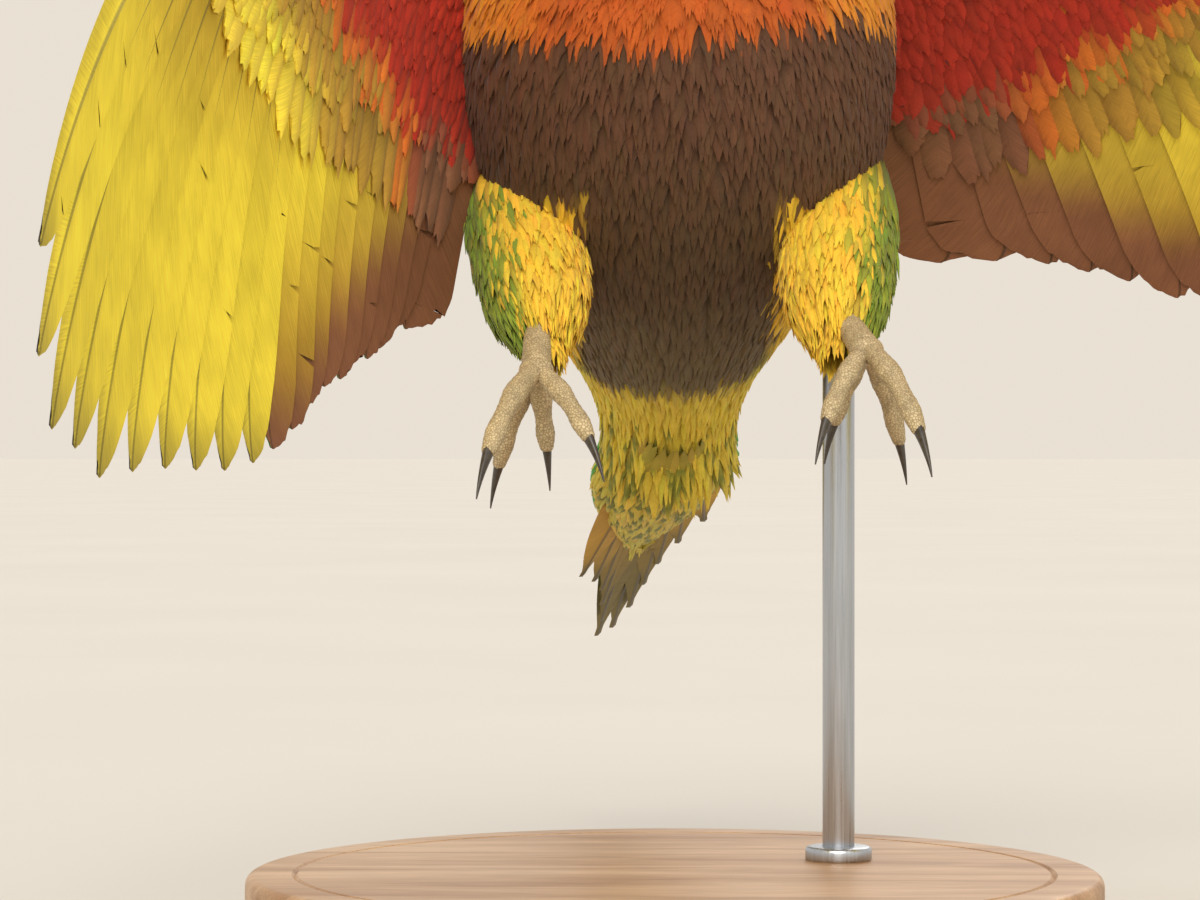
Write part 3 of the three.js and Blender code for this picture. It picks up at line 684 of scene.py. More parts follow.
def bare_skin_material(name, colour_name):
    """Bare, finely wrinkled skin."""
    tone = colour4(getattr(bpy.context.scene.lorikeet_bare, colour_name))

    def build(sheet, place):
        broad = sheet.use(mottle(), {"Place": place, "Scale": 700.0, "Amount": 0.18})
        wrinkles = sheet.range(sheet.cells(place, 2400.0), 0, 0.12, 0, 1)
        return {
            "Base Color": sheet.shaded(tone, broad["Shade"]),
            "Normal": sheet.bump(wrinkles, 0.5, 0.08),
            "Roughness": 0.55,
        }

    return material(name, build)


def eye_material(name, centre, facing):
    """A wet eye: a black pupil, an orange-red iris with fine spokes, and a dark rim."""
    bare = bpy.context.scene.lorikeet_bare

    def build(sheet, place):
        seat = {"Vector": place, "Location": tuple(centre * MM), "Rotation": facing.to_euler()}
        local = sheet.add("ShaderNodeMapping", seat, vector_type="TEXTURE").outputs[0]
        _, side, up = sheet.split(local)
        flat = sheet.join(0.0, side, up)
        radius = sheet.add("ShaderNodeVectorMath", {0: flat}, operation="LENGTH").outputs["Value"]
        angle = sheet.math("ARCTAN2", side, up)
        ring = [sheet.math("MULTIPLY", sheet.math(wave, angle), 9.0) for wave in ("COSINE", "SINE")]
        spokes = sheet.noise(sheet.join(*ring, sheet.math("MULTIPLY", radius, 900.0)), 1.0, 3.0)
        iris = sheet.shaded(colour4(bare.iris), sheet.range(spokes, 0.3, 0.7, 0.6, 1.4))
        colour = sheet.blend(PUPIL_BLACK, iris, sheet.range(radius, *PUPIL_EDGE, 0, 1))
        colour = sheet.blend(colour, EYE_RIM_BLACK, sheet.range(radius, *IRIS_EDGE, 0, 1))
        return {
            "Base Color": colour,
            "Roughness": sheet.range(spokes, 0.2, 0.8, 0.14, 0.22),
            "Specular IOR Level": 0.0,
            "Coat Weight": 1.0,
            "Coat IOR": 1.38,
            "Coat Roughness": 0.02,
        }

    return material(name, build)


def foot_material():
    """Tan scaly skin, darker in the grooves."""
    bare = bpy.context.scene.lorikeet_bare

    def build(sheet, place):
        scale = sheet.range(sheet.cells(place, 2300.0), 0.0, 0.2, 0, 1)
        broad = sheet.use(mottle(), {"Place": place, "Scale": 450.0, "Amount": 0.16})
        colour = sheet.blend(colour4(bare.foot_groove), colour4(bare.foot), scale)
        return {
            "Base Color": sheet.shaded(colour, broad["Shade"]),
            "Roughness": sheet.range(scale, 0, 1, 0.75, 0.5),
            "Normal": sheet.bump(scale, 0.55, 0.12),
        }

    return material("Scaly foot skin", build)


def claw_material():
    """Dark horn with fine lines along each claw."""
    claw = colour4(bpy.context.scene.lorikeet_bare.claw)

    def build(sheet, place):
        lines = sheet.noise(place, 1100.0, 3.0)
        return {
            "Base Color": sheet.shaded(claw, sheet.range(lines, 0.3, 0.7, 0.7, 1.5)),
            "Roughness": sheet.range(lines, 0.3, 0.7, 0.3, 0.45),
            "Normal": sheet.bump(lines, 0.25, 0.06),
        }

    return material("Claw horn", build)


def wood_material():
    """Pale turned wood with grain across the disc and satin varnish."""
    stand = bpy.context.scene.lorikeet_stand

    def build(sheet, place):
        rings = sheet.noise(sheet.stretched(place, (14, 120, 120), GRAIN_TURN), 1.0, 5.0, Distortion=0.6)
        pores = sheet.noise(sheet.stretched(place, (120, 2400, 2400), GRAIN_TURN), 1.0, 2.0)
        band = sheet.range(rings, 0.35, 0.65, 0, 0.75)
        colour = sheet.blend(colour4(stand.wood), colour4(stand.grain), band)
        return {
            "Base Color": sheet.shaded(colour, sheet.range(pores, 0.35, 0.6, 0.78, 1.06)),
            "Roughness": sheet.range(rings, 0.3, 0.7, 0.34, 0.46),
            "Normal": sheet.bump(pores, 0.25, 0.1),
        }

    return material("Turned wood", build)


def steel_material():
    """Steel brushed along its length."""
    steel = colour4(bpy.context.scene.lorikeet_stand.steel)

    def build(sheet, place):
        brush = sheet.noise(sheet.stretched(place, (3000, 3000, 60)), 1.0, 2.0)
        return {
            "Base Color": sheet.shaded(steel, sheet.range(brush, 0.3, 0.7, 0.88, 1.08)),
            "Roughness": sheet.range(brush, 0.3, 0.7, 0.26, 0.42),
            "Normal": sheet.bump(brush, 0.15, 0.05),
            "Metallic": 1.0,
        }

    return material("Brushed steel", build)


def floor_material():
    """A plain pale floor."""
    tone = colour4(bpy.context.scene.lorikeet_stand.floor)

    def build(sheet, place):
        broad = sheet.use(mottle(), {"Place": place, "Scale": 4.0, "Amount": 0.02})
        return {
            "Base Color": sheet.shaded(tone, broad["Shade"]),
            "Roughness": 0.9,
            "Specular IOR Level": 0.1,
        }

    return material("Pale floor", build)


# Meshes


def start_clean():
    """Leaves nothing selected, in object mode."""
    if bpy.context.object and bpy.context.object.mode != "OBJECT":
        bpy.ops.object.mode_set(mode="OBJECT")
    bpy.ops.object.select_all(action="DESELECT")


def name_new(name):
    """Names the object that was just added."""
    piece = bpy.context.object
    piece.name = piece.data.name = name
    return piece


@contextmanager
def edit_mode():
    """Puts the active piece in edit mode for a while."""
    bpy.ops.object.mode_set(mode="EDIT")
    yield
    bpy.ops.object.mode_set(mode="OBJECT")


def deselect_mesh():
    """Leaves nothing selected in the active piece's mesh."""
    with edit_mode():
        bpy.ops.mesh.select_all(action="DESELECT")


def apply_modifier(piece, kind, **fields):
    """Gives the active piece a modifier and applies it."""
    modifier = piece.modifiers.new(kind.title(), kind)
    for key, value in fields.items():
        setattr(modifier, key, value)
    bpy.ops.object.modifier_apply(modifier=modifier.name)


def smooth_out(piece, levels=1):
    """Rounds the active piece by subdivision."""
    apply_modifier(piece, "SUBSURF", levels=levels, render_levels=levels)


def mesh_piece(name, points, faces, finish, slot, maps=None, colours=None, corner_colours=None):
    """A finished piece from arrays: points in millimetres, and faces by arrays of one width each."""
    mesh = bpy.data.meshes.new(name)
    mesh.vertices.add(len(points))
    mesh.vertices.foreach_set("co", (points * MM).astype(np.float32).ravel())
    corners = np.concatenate([f.ravel() for f in faces]).astype(np.int32)
    widths = np.concatenate([np.full(len(f), f.shape[1]) for f in faces])
    mesh.loops.add(len(corners))
    mesh.loops.foreach_set("vertex_index", corners)
    mesh.polygons.add(len(widths))
    mesh.polygons.foreach_set("loop_start", np.concatenate([[0], np.cumsum(widths)[:-1]]).astype(np.int32))
    mesh.update(calc_edges=True)
    for title, places in (maps or {}).items():
        layer = mesh.uv_layers.new(name=title)
        layer.uv.foreach_set("vector", places[corners].astype(np.float32).ravel())
    for rows, domain in ((colours, "POINT"), (corner_colours, "CORNER")):
        if rows is not None:
            layer = mesh.color_attributes.new(PLUMAGE, "FLOAT_COLOR", domain)
            rgba = np.concatenate([np.clip(rows, 0, 1), np.ones((len(rows), 1))], 1)
            layer.data.foreach_set("color", rgba.astype(np.float32).ravel())
    piece = bpy.data.objects.new(name, mesh)
    bpy.context.scene.collection.objects.link(piece)
    start_clean()
    piece.select_set(True)
    bpy.context.view_layer.objects.active = piece
    bpy.ops.object.shade_smooth_by_angle(angle=math.radians(50))
    mesh.materials.append(finish)
    return settle(piece, slot)


def settle(piece, slot):
    """Puts a finished piece on the body."""
    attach(piece, "root")
    return piece


# Feathers


def vane_shape(rows, widths, columns, arch, bow, fray):
    """A small feather lying flat: points as shares of its length, half width and height, and its faces.

    It starts from one point at the root. Its upper side is arched, its under side has one crease, and its
    last row is split into barbs.
    """
    across = np.linspace(-1, 1, columns + 1)
    points, last = [(0, 0, 0)], len(rows) - 1
    for k, (along, half) in enumerate(zip(rows, widths)):
        notch = fray * (1 - np.arange(columns + 1) % 2) if k == last else 0
        height = arch * (1 - across**2) * min(1, half * 1.4)
        points += zip(along - bow * along * across**2 - notch, half * across, height)
    middle = [len(points) + k for k in range(last)]
    points += [(rows[k], 0, -arch * 0.35) for k in range(last)]
    at = lambda k, j: 1 + k * (columns + 1) + j
    square = lambda k, j: (at(k + 1, j), at(k + 1, j + 1), at(k, j + 1), at(k, j))
    quads = [square(k, j) for k in range(last) for j in range(columns)]
    for k in range(last - 1):
        quads.append((at(k, 0), middle[k], middle[k + 1], at(k + 1, 0)))
        quads.append((middle[k], at(k, columns), at(k + 1, columns), middle[k + 1]))
    triangles = [(at(0, j), at(0, j + 1), 0) for j in range(columns)]
    triangles += [(0, middle[0], at(0, 0)), (0, at(0, columns), middle[0])]
    rim = [at(last - 1, 0)] + [at(last, j) for j in range(columns + 1)] + [at(last - 1, columns)]
    triangles += [(middle[-1], b, a) for a, b in zip(rim, rim[1:])]
    return np.array(points, float), np.array(quads), np.array(triangles)


def soft_vane(fray):
    """A broad, loose feather, deeply split."""
    return vane_shape((0.45, 0.8, 1), (1, 0.92, 0.5), columns=8, arch=0.16, bow=0.16, fray=fray)


def narrow_vane(fray):
    """A narrow feather with a pointed tip."""
    return vane_shape((0.4, 0.75, 1), (1, 0.8, 0.2), columns=4, arch=0.17, bow=0.1, fray=fray * 0.4)


def round_vane(fray):
    """A broad, firm feather with a round tip."""
    return vane_shape(
        (0.4, 0.7, 0.9, 1), (0.9, 1, 0.84, 0.5), columns=6, arch=0.12, bow=0.12, fray=fray * 0.3
    )


def local_scale(surface, p, q):
    """Millimetres along a surface for each unit of its two parameters."""
    small, level = 1e-3, np.zeros_like(p)
    here = surface(p, q, level)
    along = np.linalg.norm(surface(p + small, q, level) - here, axis=-1) / small
    round_ = np.linalg.norm(surface(p, q + small, level) - here, axis=-1) / small
    return along, np.maximum(round_, small)


# Places and colours of the roots of all small feathers, from which the skin takes its colours.
ROOTS = []


class Coat:
    """Feathers of one piece, laid on a surface by their roots."""

    def __init__(self, surface, unwrap, shape, rng):
        self.surface, self.unwrap, self.shape, self.rng = surface, unwrap, shape, rng
        self.rows = []

    def lay(self, p, q, turn, long, half, root_lift, tip_lift, dim, tip, mark=None, scale=None):
        """Adds feathers with roots at (p, q). turn, in degrees, is the way of each from -p towards q.

        tip holds the colour of each feather's tip, and dim is how much of it the darker root has: partly the
        feather's own darker base, partly painted shade deep in the coat where the feathers overlap.
        """
        numbers = np.broadcast_arrays(p, q, turn, long, half, root_lift, tip_lift)
        p, q, turn, long, half, root_lift, tip_lift = (np.asarray(x, float) for x in numbers)
        kp, kq = scale or local_scale(self.surface, p, q)
        cos, sin = np.cos(np.radians(turn)), np.sin(np.radians(turn))
        self.rows.append(
            dict(
                p=p, q=q, long=long, half=half, root_lift=root_lift, tip_lift=tip_lift,
                lp=-cos / kp, lq=sin / kq, wp=sin / kp, wq=cos / kq,
                root=tip * dim, tip=tip, mark=tip if mark is None else mark,
                marked=np.full(len(p), float(mark is not None)),
            )
        )

    def build(self, name, finish, slot, streaked=False):
        """Makes the piece. A streaked coat has its marks along the shafts, any other across the vanes."""
        rows = {key: np.concatenate([row[key] for row in self.rows]) for key in self.rows[0]}
        shape, quads, triangles = self.shape
        count, size = len(rows["p"]), len(shape)
        rng = self.rng
        cell = {key: value[:, None] for key, value in rows.items() if value.ndim == 1}
        # Each feather's points along and across it, and then on the surface.
        t, x, z = (shape[:, i][None, :] for i in range(3))
        ragged = rng.normal(0, 1, (count, size)) * np.where(t > 0.8, 0.03, 0.0)
        curl = rng.normal(0, 0.18, (count, 1))
        t = t * (1 + ragged)
        l, w = t * cell["long"], x * cell["half"] * (1 + rng.normal(0, 0.06, (count, 1)))
        w = w + curl * cell["half"] * t**2
        lift = cell["root_lift"] + (cell["tip_lift"] - cell["root_lift"]) * t**1.2
        lift = lift + z * cell["half"] * 2
        p = cell["p"] + l * cell["lp"] + w * cell["wp"]
        q = cell["q"] + l * cell["lq"] + w * cell["wq"]
        points = self.surface(p, q, lift).reshape(-1, 3)
        shift = (np.arange(count) * size)[:, None, None]
        faces = [(kind[None] + shift).reshape(-1, kind.shape[1]) for kind in (quads, triangles)]
        faces = outward(points, faces, len(quads), len(triangles))
        # Its colours from root to tip, with any mark. The darker root is partly the feather's own base and
        # partly painted shade deep in the coat.
        shade = rng.normal(1, 0.045, (count, 1, 1))
        fade = step(0.15, 0.85, t)[..., None]
        colours = rows["root"][:, None] * (1 - fade) + rows["tip"][:, None] * fade
        if streaked:
            spot = step(0.3, 0.6, t) * (1 - np.abs(x)) ** 2
        else:
            spot = step(0.5, 0.66, t) * (1 - step(0.84, 0.94, t))
        spot = (spot * cell["marked"])[..., None]
        colours = (colours * (1 - spot) + rows["mark"][:, None] * spot) * shade
        root_place = self.unwrap(rows["p"], rows["q"])[:, None]
        patch = np.stack(np.broadcast_arrays(t, x * 0.5), -1) * MAP_PATCH
        maps = {
            VANE_MAP: np.stack([l, w], -1).reshape(-1, 2) * 0.1,
            BAKE_MAP: (root_place + patch).reshape(-1, 2),
        }
        # The skin's colour lies between a feather's darker root, partly painted shade, and its tip.
        root_colour = rows["root"] * 0.4 + rows["tip"] * 0.6
        ROOTS.append((self.surface(rows["p"], rows["q"], rows["root_lift"]), root_colour))
        return mesh_piece(name, points, faces, finish, slot, maps, colours.reshape(-1, 3))


def outward(points, faces, quads, triangles):
    """Turns every face round if the first small closed shape has its faces inwards."""
    volume = 0
    for rows, count in zip(faces, (quads, triangles)):
        for face in rows[:count]:
            corner = points[face]
            for i in range(1, len(face) - 1):
                volume += np.dot(corner[0], np.cross(corner[i], corner[i + 1]))
    return faces if volume > 0 else [rows[:, ::-1] for rows in faces]


def scattered_rows(rng, first, last, gap_at, count_at, disorder):
    """Roots in staggered rows: one parameter runs from first to last, the other round from 0 to 1."""
    p, q, row, at = [], [], 0, first
    while (at - last) * (first - last) > 0:
        count = max(int(count_at(at)), 3)
        along = at + rng.normal(0, disorder * 0.35, count) * gap_at(at)
        q.append(((np.arange(count) + 0.5 * (row % 2) + rng.normal(0, disorder * 0.45, count)) / count) % 1)
        p.append(along)
        at += math.copysign(gap_at(at), last - first)
        row += 1
    return np.concatenate(p), np.concatenate(q)


# Markings


def body_marks(distance, angle, c):
    """The plumage's colour at places of the body, from the palette c."""
    point = body_point(distance, angle)
    x, z = point[:, 0], point[:, 2]
    back = np.sin(angle)
    # The belly by height, olive along the flanks and yellow-green at the vent. Its lowest part is
    # olive-brown and lighter, partly its own colour and partly painted light from below.
    belly = mix(c.belly_low, c.belly, step(84, 100, z))
    belly = mix(belly, c.belly_top, step(100, 128, z))
    rim = (1 - step(30, 46, distance)) * step(-0.72, -0.42, back)
    belly = mix(belly, c.flank, rim)
    belly = mix(c.vent, belly, step(14, 19, distance))
    # Beside the thighs the body has their colours.
    from_leg = np.abs(x) - np.where(x > 0, 24.3, 23.0)
    top = 111 - 4 * np.exp(-((from_leg / 2.5) ** 2))
    on_leg = (1 - step(7, 8.5, np.abs(from_leg))) * (1 - step(top - 0.5, top + 0.5, z)) * step(80, 84, z)
    belly = mix(belly, mix(c.thigh, c.thigh_edge, step(2.5, 6, from_leg)), on_leg)
    # The breast, down to an edge that is higher at the sides, and the head.
    edge = np.interp(x, (-36, -20, -6, 12, 34), (136, 133, 131.5, 134, 138))
    breast = mix(c.breast_edge, c.breast, step(137, 152, z))
    at_side = step(0.55, 0.95, np.abs(np.cos(angle))) * (1 - step(104, 116, distance))
    breast = mix(breast, c.breast_side, at_side)
    front = mix(belly, breast, step(-0.9, 0.9, z - edge))
    head = mix(c.head, c.lore, step(142, 147, distance))
    front = mix(front, head, step(115.4, 115.6, distance + 2 * back))
    # The back, with the collar across the nape.
    behind = mix(c.rump, c.back, step(18, 40, distance))
    behind = mix(behind, c.collar, step(102, 103, distance - 4 * (1 - back)))
    behind = mix(behind, head, step(115.9, 116.1, distance + 3 * (1 - back)))
    side = step(0.17, 0.23, back + 0.12 * (1 - step(60, 100, distance)))
    side = np.where(distance > 100, step(-0.02, 0.06, back), side)
    return mix(front, behind, side)


# Coats


def body_turn(distance, angle):
    """How far the body feathers turn from straight back: outward on the belly and over the flanks."""
    return 10 * np.cos(angle) * np.sin(angle) * step(100, 60, distance)


def vane_length(distance, sizes):
    """Length of the body feathers, in millimetres: short on the face, long on the trunk."""
    body, head = sizes.body_vane / MM, sizes.head_vane / MM
    trunk = [body * part for part in (0.85, 1.0, 1.05, 1.0, 0.95, 0.85)]
    face = [head * part for part in (1.4, 1.0, 0.85, 0.6, 0.28)]
    return np.interp(distance, (0, 17, 30, 60, 85, 100, 112, 121, 130, 138, 150), trunk + face)


def eye_level():
    """The place between the eyes, in the plane of symmetry, and the eyes' angle round the head."""
    place, _, up = spine_frame(EYE_AT)
    return place + up * EYE_RISE, math.asin(EYE_RISE / float(smooth_through(BACK_STATIONS, EYE_AT)))


def clear_of_eyes(distance, angle, long):
    """True for head feathers that neither start at an eye nor reach over it."""
    centre, _ = eye_level()
    clear = np.ones(len(distance), bool)
    for reach in (0, 0.35, 0.7, 1):
        point = body_point(distance - long * reach, angle)
        gap = np.hypot(point[:, 1] - centre[1], point[:, 2] - centre[2])
        clear &= (gap > 3.6) | (np.abs(point[:, 0]) < 8)
    return clear


def body_roots(first, last, gap, rng, disorder):
    """Roots of body feathers by distance and angle, gap(distance) millimetres apart both ways."""

    def count_at(at):
        ring = body_point(np.full(65, at), np.linspace(0, FULL_TURN, 65))
        return np.linalg.norm(np.diff(ring, axis=0), axis=1).sum() / gap(at)

    distance, share_round = scattered_rows(rng, first, last, gap, count_at, disorder)
    return distance, share_round * FULL_TURN


def blur(colour, rng, amount):
    """Shifts each row's hue and value a little."""
    return np.clip(colour * (1 + rng.normal(0, amount, (len(colour), 3))), 0, 1)


class LORIKEET_OT_body_coat(bpy.types.Operator):
    """Lays the feathers of head, neck, breast, belly, back and rump"""

    bl_idname = "lorikeet.body_coat"
    bl_label = "Body feathers"

    def execute(self, context):
        colours, sizes = palette(), context.scene.lorikeet_sizes
        rng = draws(0)
        # A coat runs from its first row to its last, with the gaps given at those two, and slim is the
        # half width of its feathers as a share of their length.
        for name, shape, slot, first, last, gap, slim in (
            ("coat_head", narrow_vane, "plumage_head", 151.2, 119, (0.72, 1.15), 0.17),
            ("coat_neck", soft_vane, "plumage_collar", 119, 99, (1.5, 1.7), 0.17),
            ("coat_front", narrow_vane, "plumage_body", 99, 0, (1.35, 1.5), 0.115),
            ("coat_back", round_vane, "plumage_green", 99, 0, (1.9, 2.3), 0.2),
        ):
            spacing = lambda at: gap[1] + (gap[0] - gap[1]) * (at - last) / (first - last)
            distance, angle = body_roots(first, last, spacing, rng, sizes.disorder)
            long = vane_length(distance, sizes) * (1 + rng.normal(0, 0.08, len(distance)))
            keep = clear_of_eyes(distance, angle, long)
            if name in ("coat_front", "coat_back"):
                keep &= (np.sin(angle) > 0.15) == (name == "coat_back")
            distance, angle, long = distance[keep], angle[keep], long[keep]
            stray = rng.normal(0, 0.5, len(long))
            tip_at = distance - 0.75 * long + stray
            tip = blur(body_marks(tip_at, angle + stray * 0.05, colours), rng, 0.035)
            mark = None
            if name == "coat_front":
                spotted = rng.random(len(tip)) < 0.5 * step(9, 0, tip_at)
                mark = np.where(spotted[:, None], mix(tip, colours.vent_spot, 0.8), tip)
            if name == "coat_head":
                blue = (tip[:, 2] > tip[:, 0]) & (tip[:, 2] > tip[:, 1])
                mark = mix(tip, colours.streak, 0.7 * blue * step(149, 141, distance))
            thinner = np.interp(distance, (0, 100, 121, 135, 149), (1, 1, 0.7, 0.45, 0.3))
            depth = sizes.coat_depth / MM * thinner
            turn = body_turn(distance, angle) + rng.normal(0, 14 * sizes.disorder, len(long))
            lift = 0.12 * (1 + rng.normal(0, 0.6, len(long)))
            coat = Coat(body_point, body_unwrap, shape(sizes.fray), rng)
            coat.lay(distance, angle, turn, long, long * slim, -depth, lift, 0.6, tip, mark)
            if name == "coat_head":
                self.lay_lashes(coat, colours, rng)
            coat.build(name, plumage_material("Body plumage"), slot, streaked=name == "coat_head")
        return {"FINISHED"}

    def lay_lashes(self, coat, colours, rng):
        """The smallest feathers, in rings round the eyes, that part round them."""
        _, rise = eye_level()
        for ring, count, long in ((3.3, 36, 1.5), (3.75, 40, 1.9), (4.25, 44, 2.3), (4.8, 46, 2.6)):
            round_ = FULL_TURN * (np.arange(count) + rng.normal(0, 0.12, count)) / count
            ahead, above = np.cos(round_), np.sin(round_)
            away = 0.22 + 0.78 * step(0.3, -0.9, ahead)
            upward, backward = mix(ahead * np.sign(above), above, away), -mix(-np.abs(above), ahead, away)
            turn = np.degrees(np.arctan2(upward, backward))
            tone = blur(np.tile(colours.head, (count, 1)), rng, 0.05)
            mark = mix(tone, colours.streak, 0.5)
            for side in (1, -1):
                at, angle = EYE_AT + ring * ahead, rise + ring * above / HEAD_RADIUS
                angle = angle if side > 0 else math.pi - angle
                coat.lay(at, angle, side * turn, long, 0.34, -0.05, 0.16, 0.6, tone, mark)


def flat_place(angle, along):
    """A flat place for a root, by its angle round the piece and its height in the map."""
    return np.stack([MAP_EDGE + MAP_SPAN * (angle / FULL_TURN % 1), MAP_EDGE + along], -1)


def body_unwrap(distance, angle):
    """A flat place for a root on the body, by its distance along the spine."""
    return flat_place(angle, MAP_SPAN * distance / FACE_END)


def thigh_surface(leg):
    """The thigh's surface by share of its length from the ankle, and angle round it."""
    hip, ankle = (on_side(leg["side"], leg[key]) for key in ("hip", "ankle"))
    way = unit(ankle - hip)
    least = np.eye(3)[np.argmin(np.abs(way))]
    first = np.cross(way, unit(np.cross(way, least)))
    second = np.cross(way, first)
    reach = np.linalg.norm(ankle - hip)

    def surface(p, q, height):
        t = (reach - p) / reach
        radius = smooth_through(THIGH_COAT, t)
        centre = hip + way * (reach - p)[..., None]
        wide, deep = (radius + height) * np.cos(q), (radius * THIGH_FLATNESS + height) * np.sin(q)
        return centre + wide[..., None] * first + deep[..., None] * second

    return surface, reach


class LORIKEET_OT_thigh_coat(bpy.types.Operator):
    """Lays the loose yellow feathers of the thighs"""

    bl_idname = "lorikeet.thigh_coat"
    bl_label = "Thigh feathers"

    def execute(self, context):
        colours, sizes = palette(), context.scene.lorikeet_sizes
        long = sizes.thigh_vane / MM
        for name, leg in LEGS.items():
            rng = draws(20 + leg["side"])
            surface, reach = thigh_surface(leg)
            count_at = lambda p: FULL_TURN * smooth_through(THIGH_COAT, 1 - p / reach) / 1.15
            p, q = scattered_rows(rng, reach + 1, -5.5, lambda p: 1.3, count_at, sizes.disorder)
            q = q * FULL_TURN
            middle, level = p - long * 0.6, np.zeros_like(p)
            centre = (surface(middle, q * 0, level) + surface(middle, q * 0 + math.pi, level)) / 2
            outer = unit(surface(middle, q, level) - centre)[:, 0] * leg["side"]
            edge = step(0.35, 0.8, outer + rng.normal(0, 0.2, len(p)))
            tip = blur(mix(colours.thigh, colours.thigh_edge, edge), rng, 0.06)
            size = long * np.interp(p, (-6, 2, 10, 25, 40), (0.4, 0.66, 0.85, 1, 1.05))
            size = size * (1 + rng.normal(0, 0.1, len(p)))
            over = smooth_through(THIGH_COAT, 1 - p / reach) - smooth_through(THIGH_RADII, 1 - p / reach)
            turn = rng.normal(0, 18 * sizes.disorder, len(p))
            lift = 0.3 * (1 + rng.normal(0, 0.8, len(p)))
            coat = Coat(surface, thigh_unwrap(reach), narrow_vane(sizes.fray), rng)
            coat.lay(p, q, turn, size, size * 0.09, -1.0 - over, lift, 0.65, tip)
            coat.build(f"coat_thigh_{name}", plumage_material("Body plumage"), "plumage_thigh")
        return {"FINISHED"}


def thigh_unwrap(reach):
    """The flat places of roots on a thigh of that length."""
    return lambda p, q: flat_place(q, 0.93 * np.clip((p + 6) / (reach + 7), 0, 1))


def along_coverts(sizes, t):
    """A size of the tail coverts, given at their front, where they are fullest, and at their tip."""
    return smooth_through(list(zip((0, 0.3, 1), sizes)), t)


def covert_surface(p, q, height):
    """The surface of the tail coverts, by distance from their tip and angle round them."""
    first, last = COVERT_SPAN
    t = (last - p - first) / (last - first)
    rise = np.sin(q)
    depth = np.where(rise > 0, along_coverts(COVERT_ABOVE, t), along_coverts(COVERT_BELOW, t))
    across = (along_coverts(COVERT_SIDE, t) + height) * np.cos(q)
    return tail_point(across, last - p, (depth + height) * rise)


class LORIKEET_OT_tail_coat(bpy.types.Operator):
    """Lays the feathers that cover the tail's root above and below"""

    bl_idname = "lorikeet.tail_coat"
    bl_label = "Tail coverts"

    def execute(self, context):
        colours, sizes = palette(), context.scene.lorikeet_sizes
        rng = draws(40)
        span, long = COVERT_SPAN[1] - COVERT_SPAN[0], sizes.tail_covert / MM
        size_at = lambda p: long * np.interp(p, (0, 30, 70), (1.0, 0.95, 0.75))
        gap_at = lambda p: size_at(p) * 0.12
        round_at = lambda p: FULL_TURN * (along_coverts(COVERT_GIRTH, 1 - p / span) + 1)
        count_at = lambda p: round_at(p) / (size_at(p) * 0.11)
        p, q = scattered_rows(rng, span + 2, 12, gap_at, count_at, sizes.disorder)
        q = q * FULL_TURN
        size = size_at(p) * (1 + rng.normal(0, 0.08, len(p)))
        below = np.sin(q) < 0.2 + rng.normal(0, 0.08, len(q))
        vent = mix(colours.vent, colours.vent_spot, 0.2 * rng.random(len(p)))
        tip = blur(np.where(below[:, None], vent, colours.rump), rng, 0.05)
        spotted = (below & (rng.random(len(p)) < 0.4))[:, None]
        mark = np.where(spotted, mix(tip, colours.vent_spot, 0.85), tip)
        for name, part, slot in (("under", below, "plumage_vent"), ("upper", ~below, "plumage_green")):
            turn = rng.normal(0, 12 * sizes.disorder, part.sum())
            lift = 0.2 * (1 + rng.normal(0, 0.6, part.sum()))
            coat = Coat(covert_surface, covert_unwrap, narrow_vane(sizes.fray), rng)
            half = size[part] * 0.095
            coat.lay(p[part], q[part], turn, size[part], half, -1.6, lift, 0.55, tip[part], mark[part])
            coat.build(f"coat_tail_{name}", plumage_material("Body plumage"), slot)
        return {"FINISHED"}


def covert_unwrap(p, q):
    """A flat place for a root of a tail covert."""
    return flat_place(q, MAP_SPAN * np.clip(p / 75, 0, 1))


# Wings


def wing_surface(line, upper):
    """One side of a wing's small plumage, by distance out from the shoulder and back from the front."""
    sign = 1 if upper else -1

    def surface(u, v, height):
        front, rear = smooth_through(WING_FRONT, u), smooth_through(WING_REAR, u)
        across = np.clip((v - front) / (rear - front), 0, 1)
        arch = np.sqrt(across) * (1 - across) * 2.6
        body = (arch * smooth_through(WING_THICK, u) * (1 - across) + REAR_THICKNESS * across) / 2
        body = body * np.sqrt(np.minimum(1, 4 * np.minimum(across, 1 - across)))
        over = WING_COVER * step(0.2, 0.75, across)
        ahead = np.clip(front - v, 0, WING_LIP)
        w = np.hypot(body, over) + height * (1 - ahead / WING_LIP)
        return bend(line, u, np.maximum(v, front - WING_LIP), sign * w)

    return surface


def vane_angle(u, wing):
    """The way of the flight feathers rooted near u, in degrees from straight out towards straight back."""
    return np.interp(u, (0, 57, 60, 72, 88, HAND_END), (wing["inner"], 70, 66, 40, 12, 8))


def wing_unwrap(u, v):
    """A flat place for a root on a wing, by its distance out and back."""
    return np.stack([0.04 + 0.9 * np.clip((at + 8) / span, 0, 1) for at, span in ((u, 120), (v, 60))], -1)


def covert_rows(sizes, rng):
    """Roots and sizes of a wing's small feathers on one side, from the leading edge back."""
    rows, share_back, small = [], 0.01, sizes.covert_vane / MM
    while share_back < WING_ROWS_END:
        size = small * (0.62 + 1.1 * share_back)
        gap = size * 0.2
        at = np.arange(-4 + gap * rng.random(), HAND_END, gap * 1.1)
        at = at + rng.normal(0, 0.3 * gap * sizes.disorder, len(at))
        front, rear = smooth_through(WING_FRONT, at), smooth_through(WING_REAR, at)
        stray = rng.normal(0, 0.35 * sizes.disorder * gap, len(at))
        back = front + (rear - front) * share_back + np.where(share_back > 0.03, stray, 0)
        long = size * (1 + rng.normal(0, 0.12, len(at)))
        rows.append((at, back, long, np.full(len(at), share_back)))
        share_back += gap / WING_DEPTH
    return [np.concatenate(column) for column in zip(*rows)]


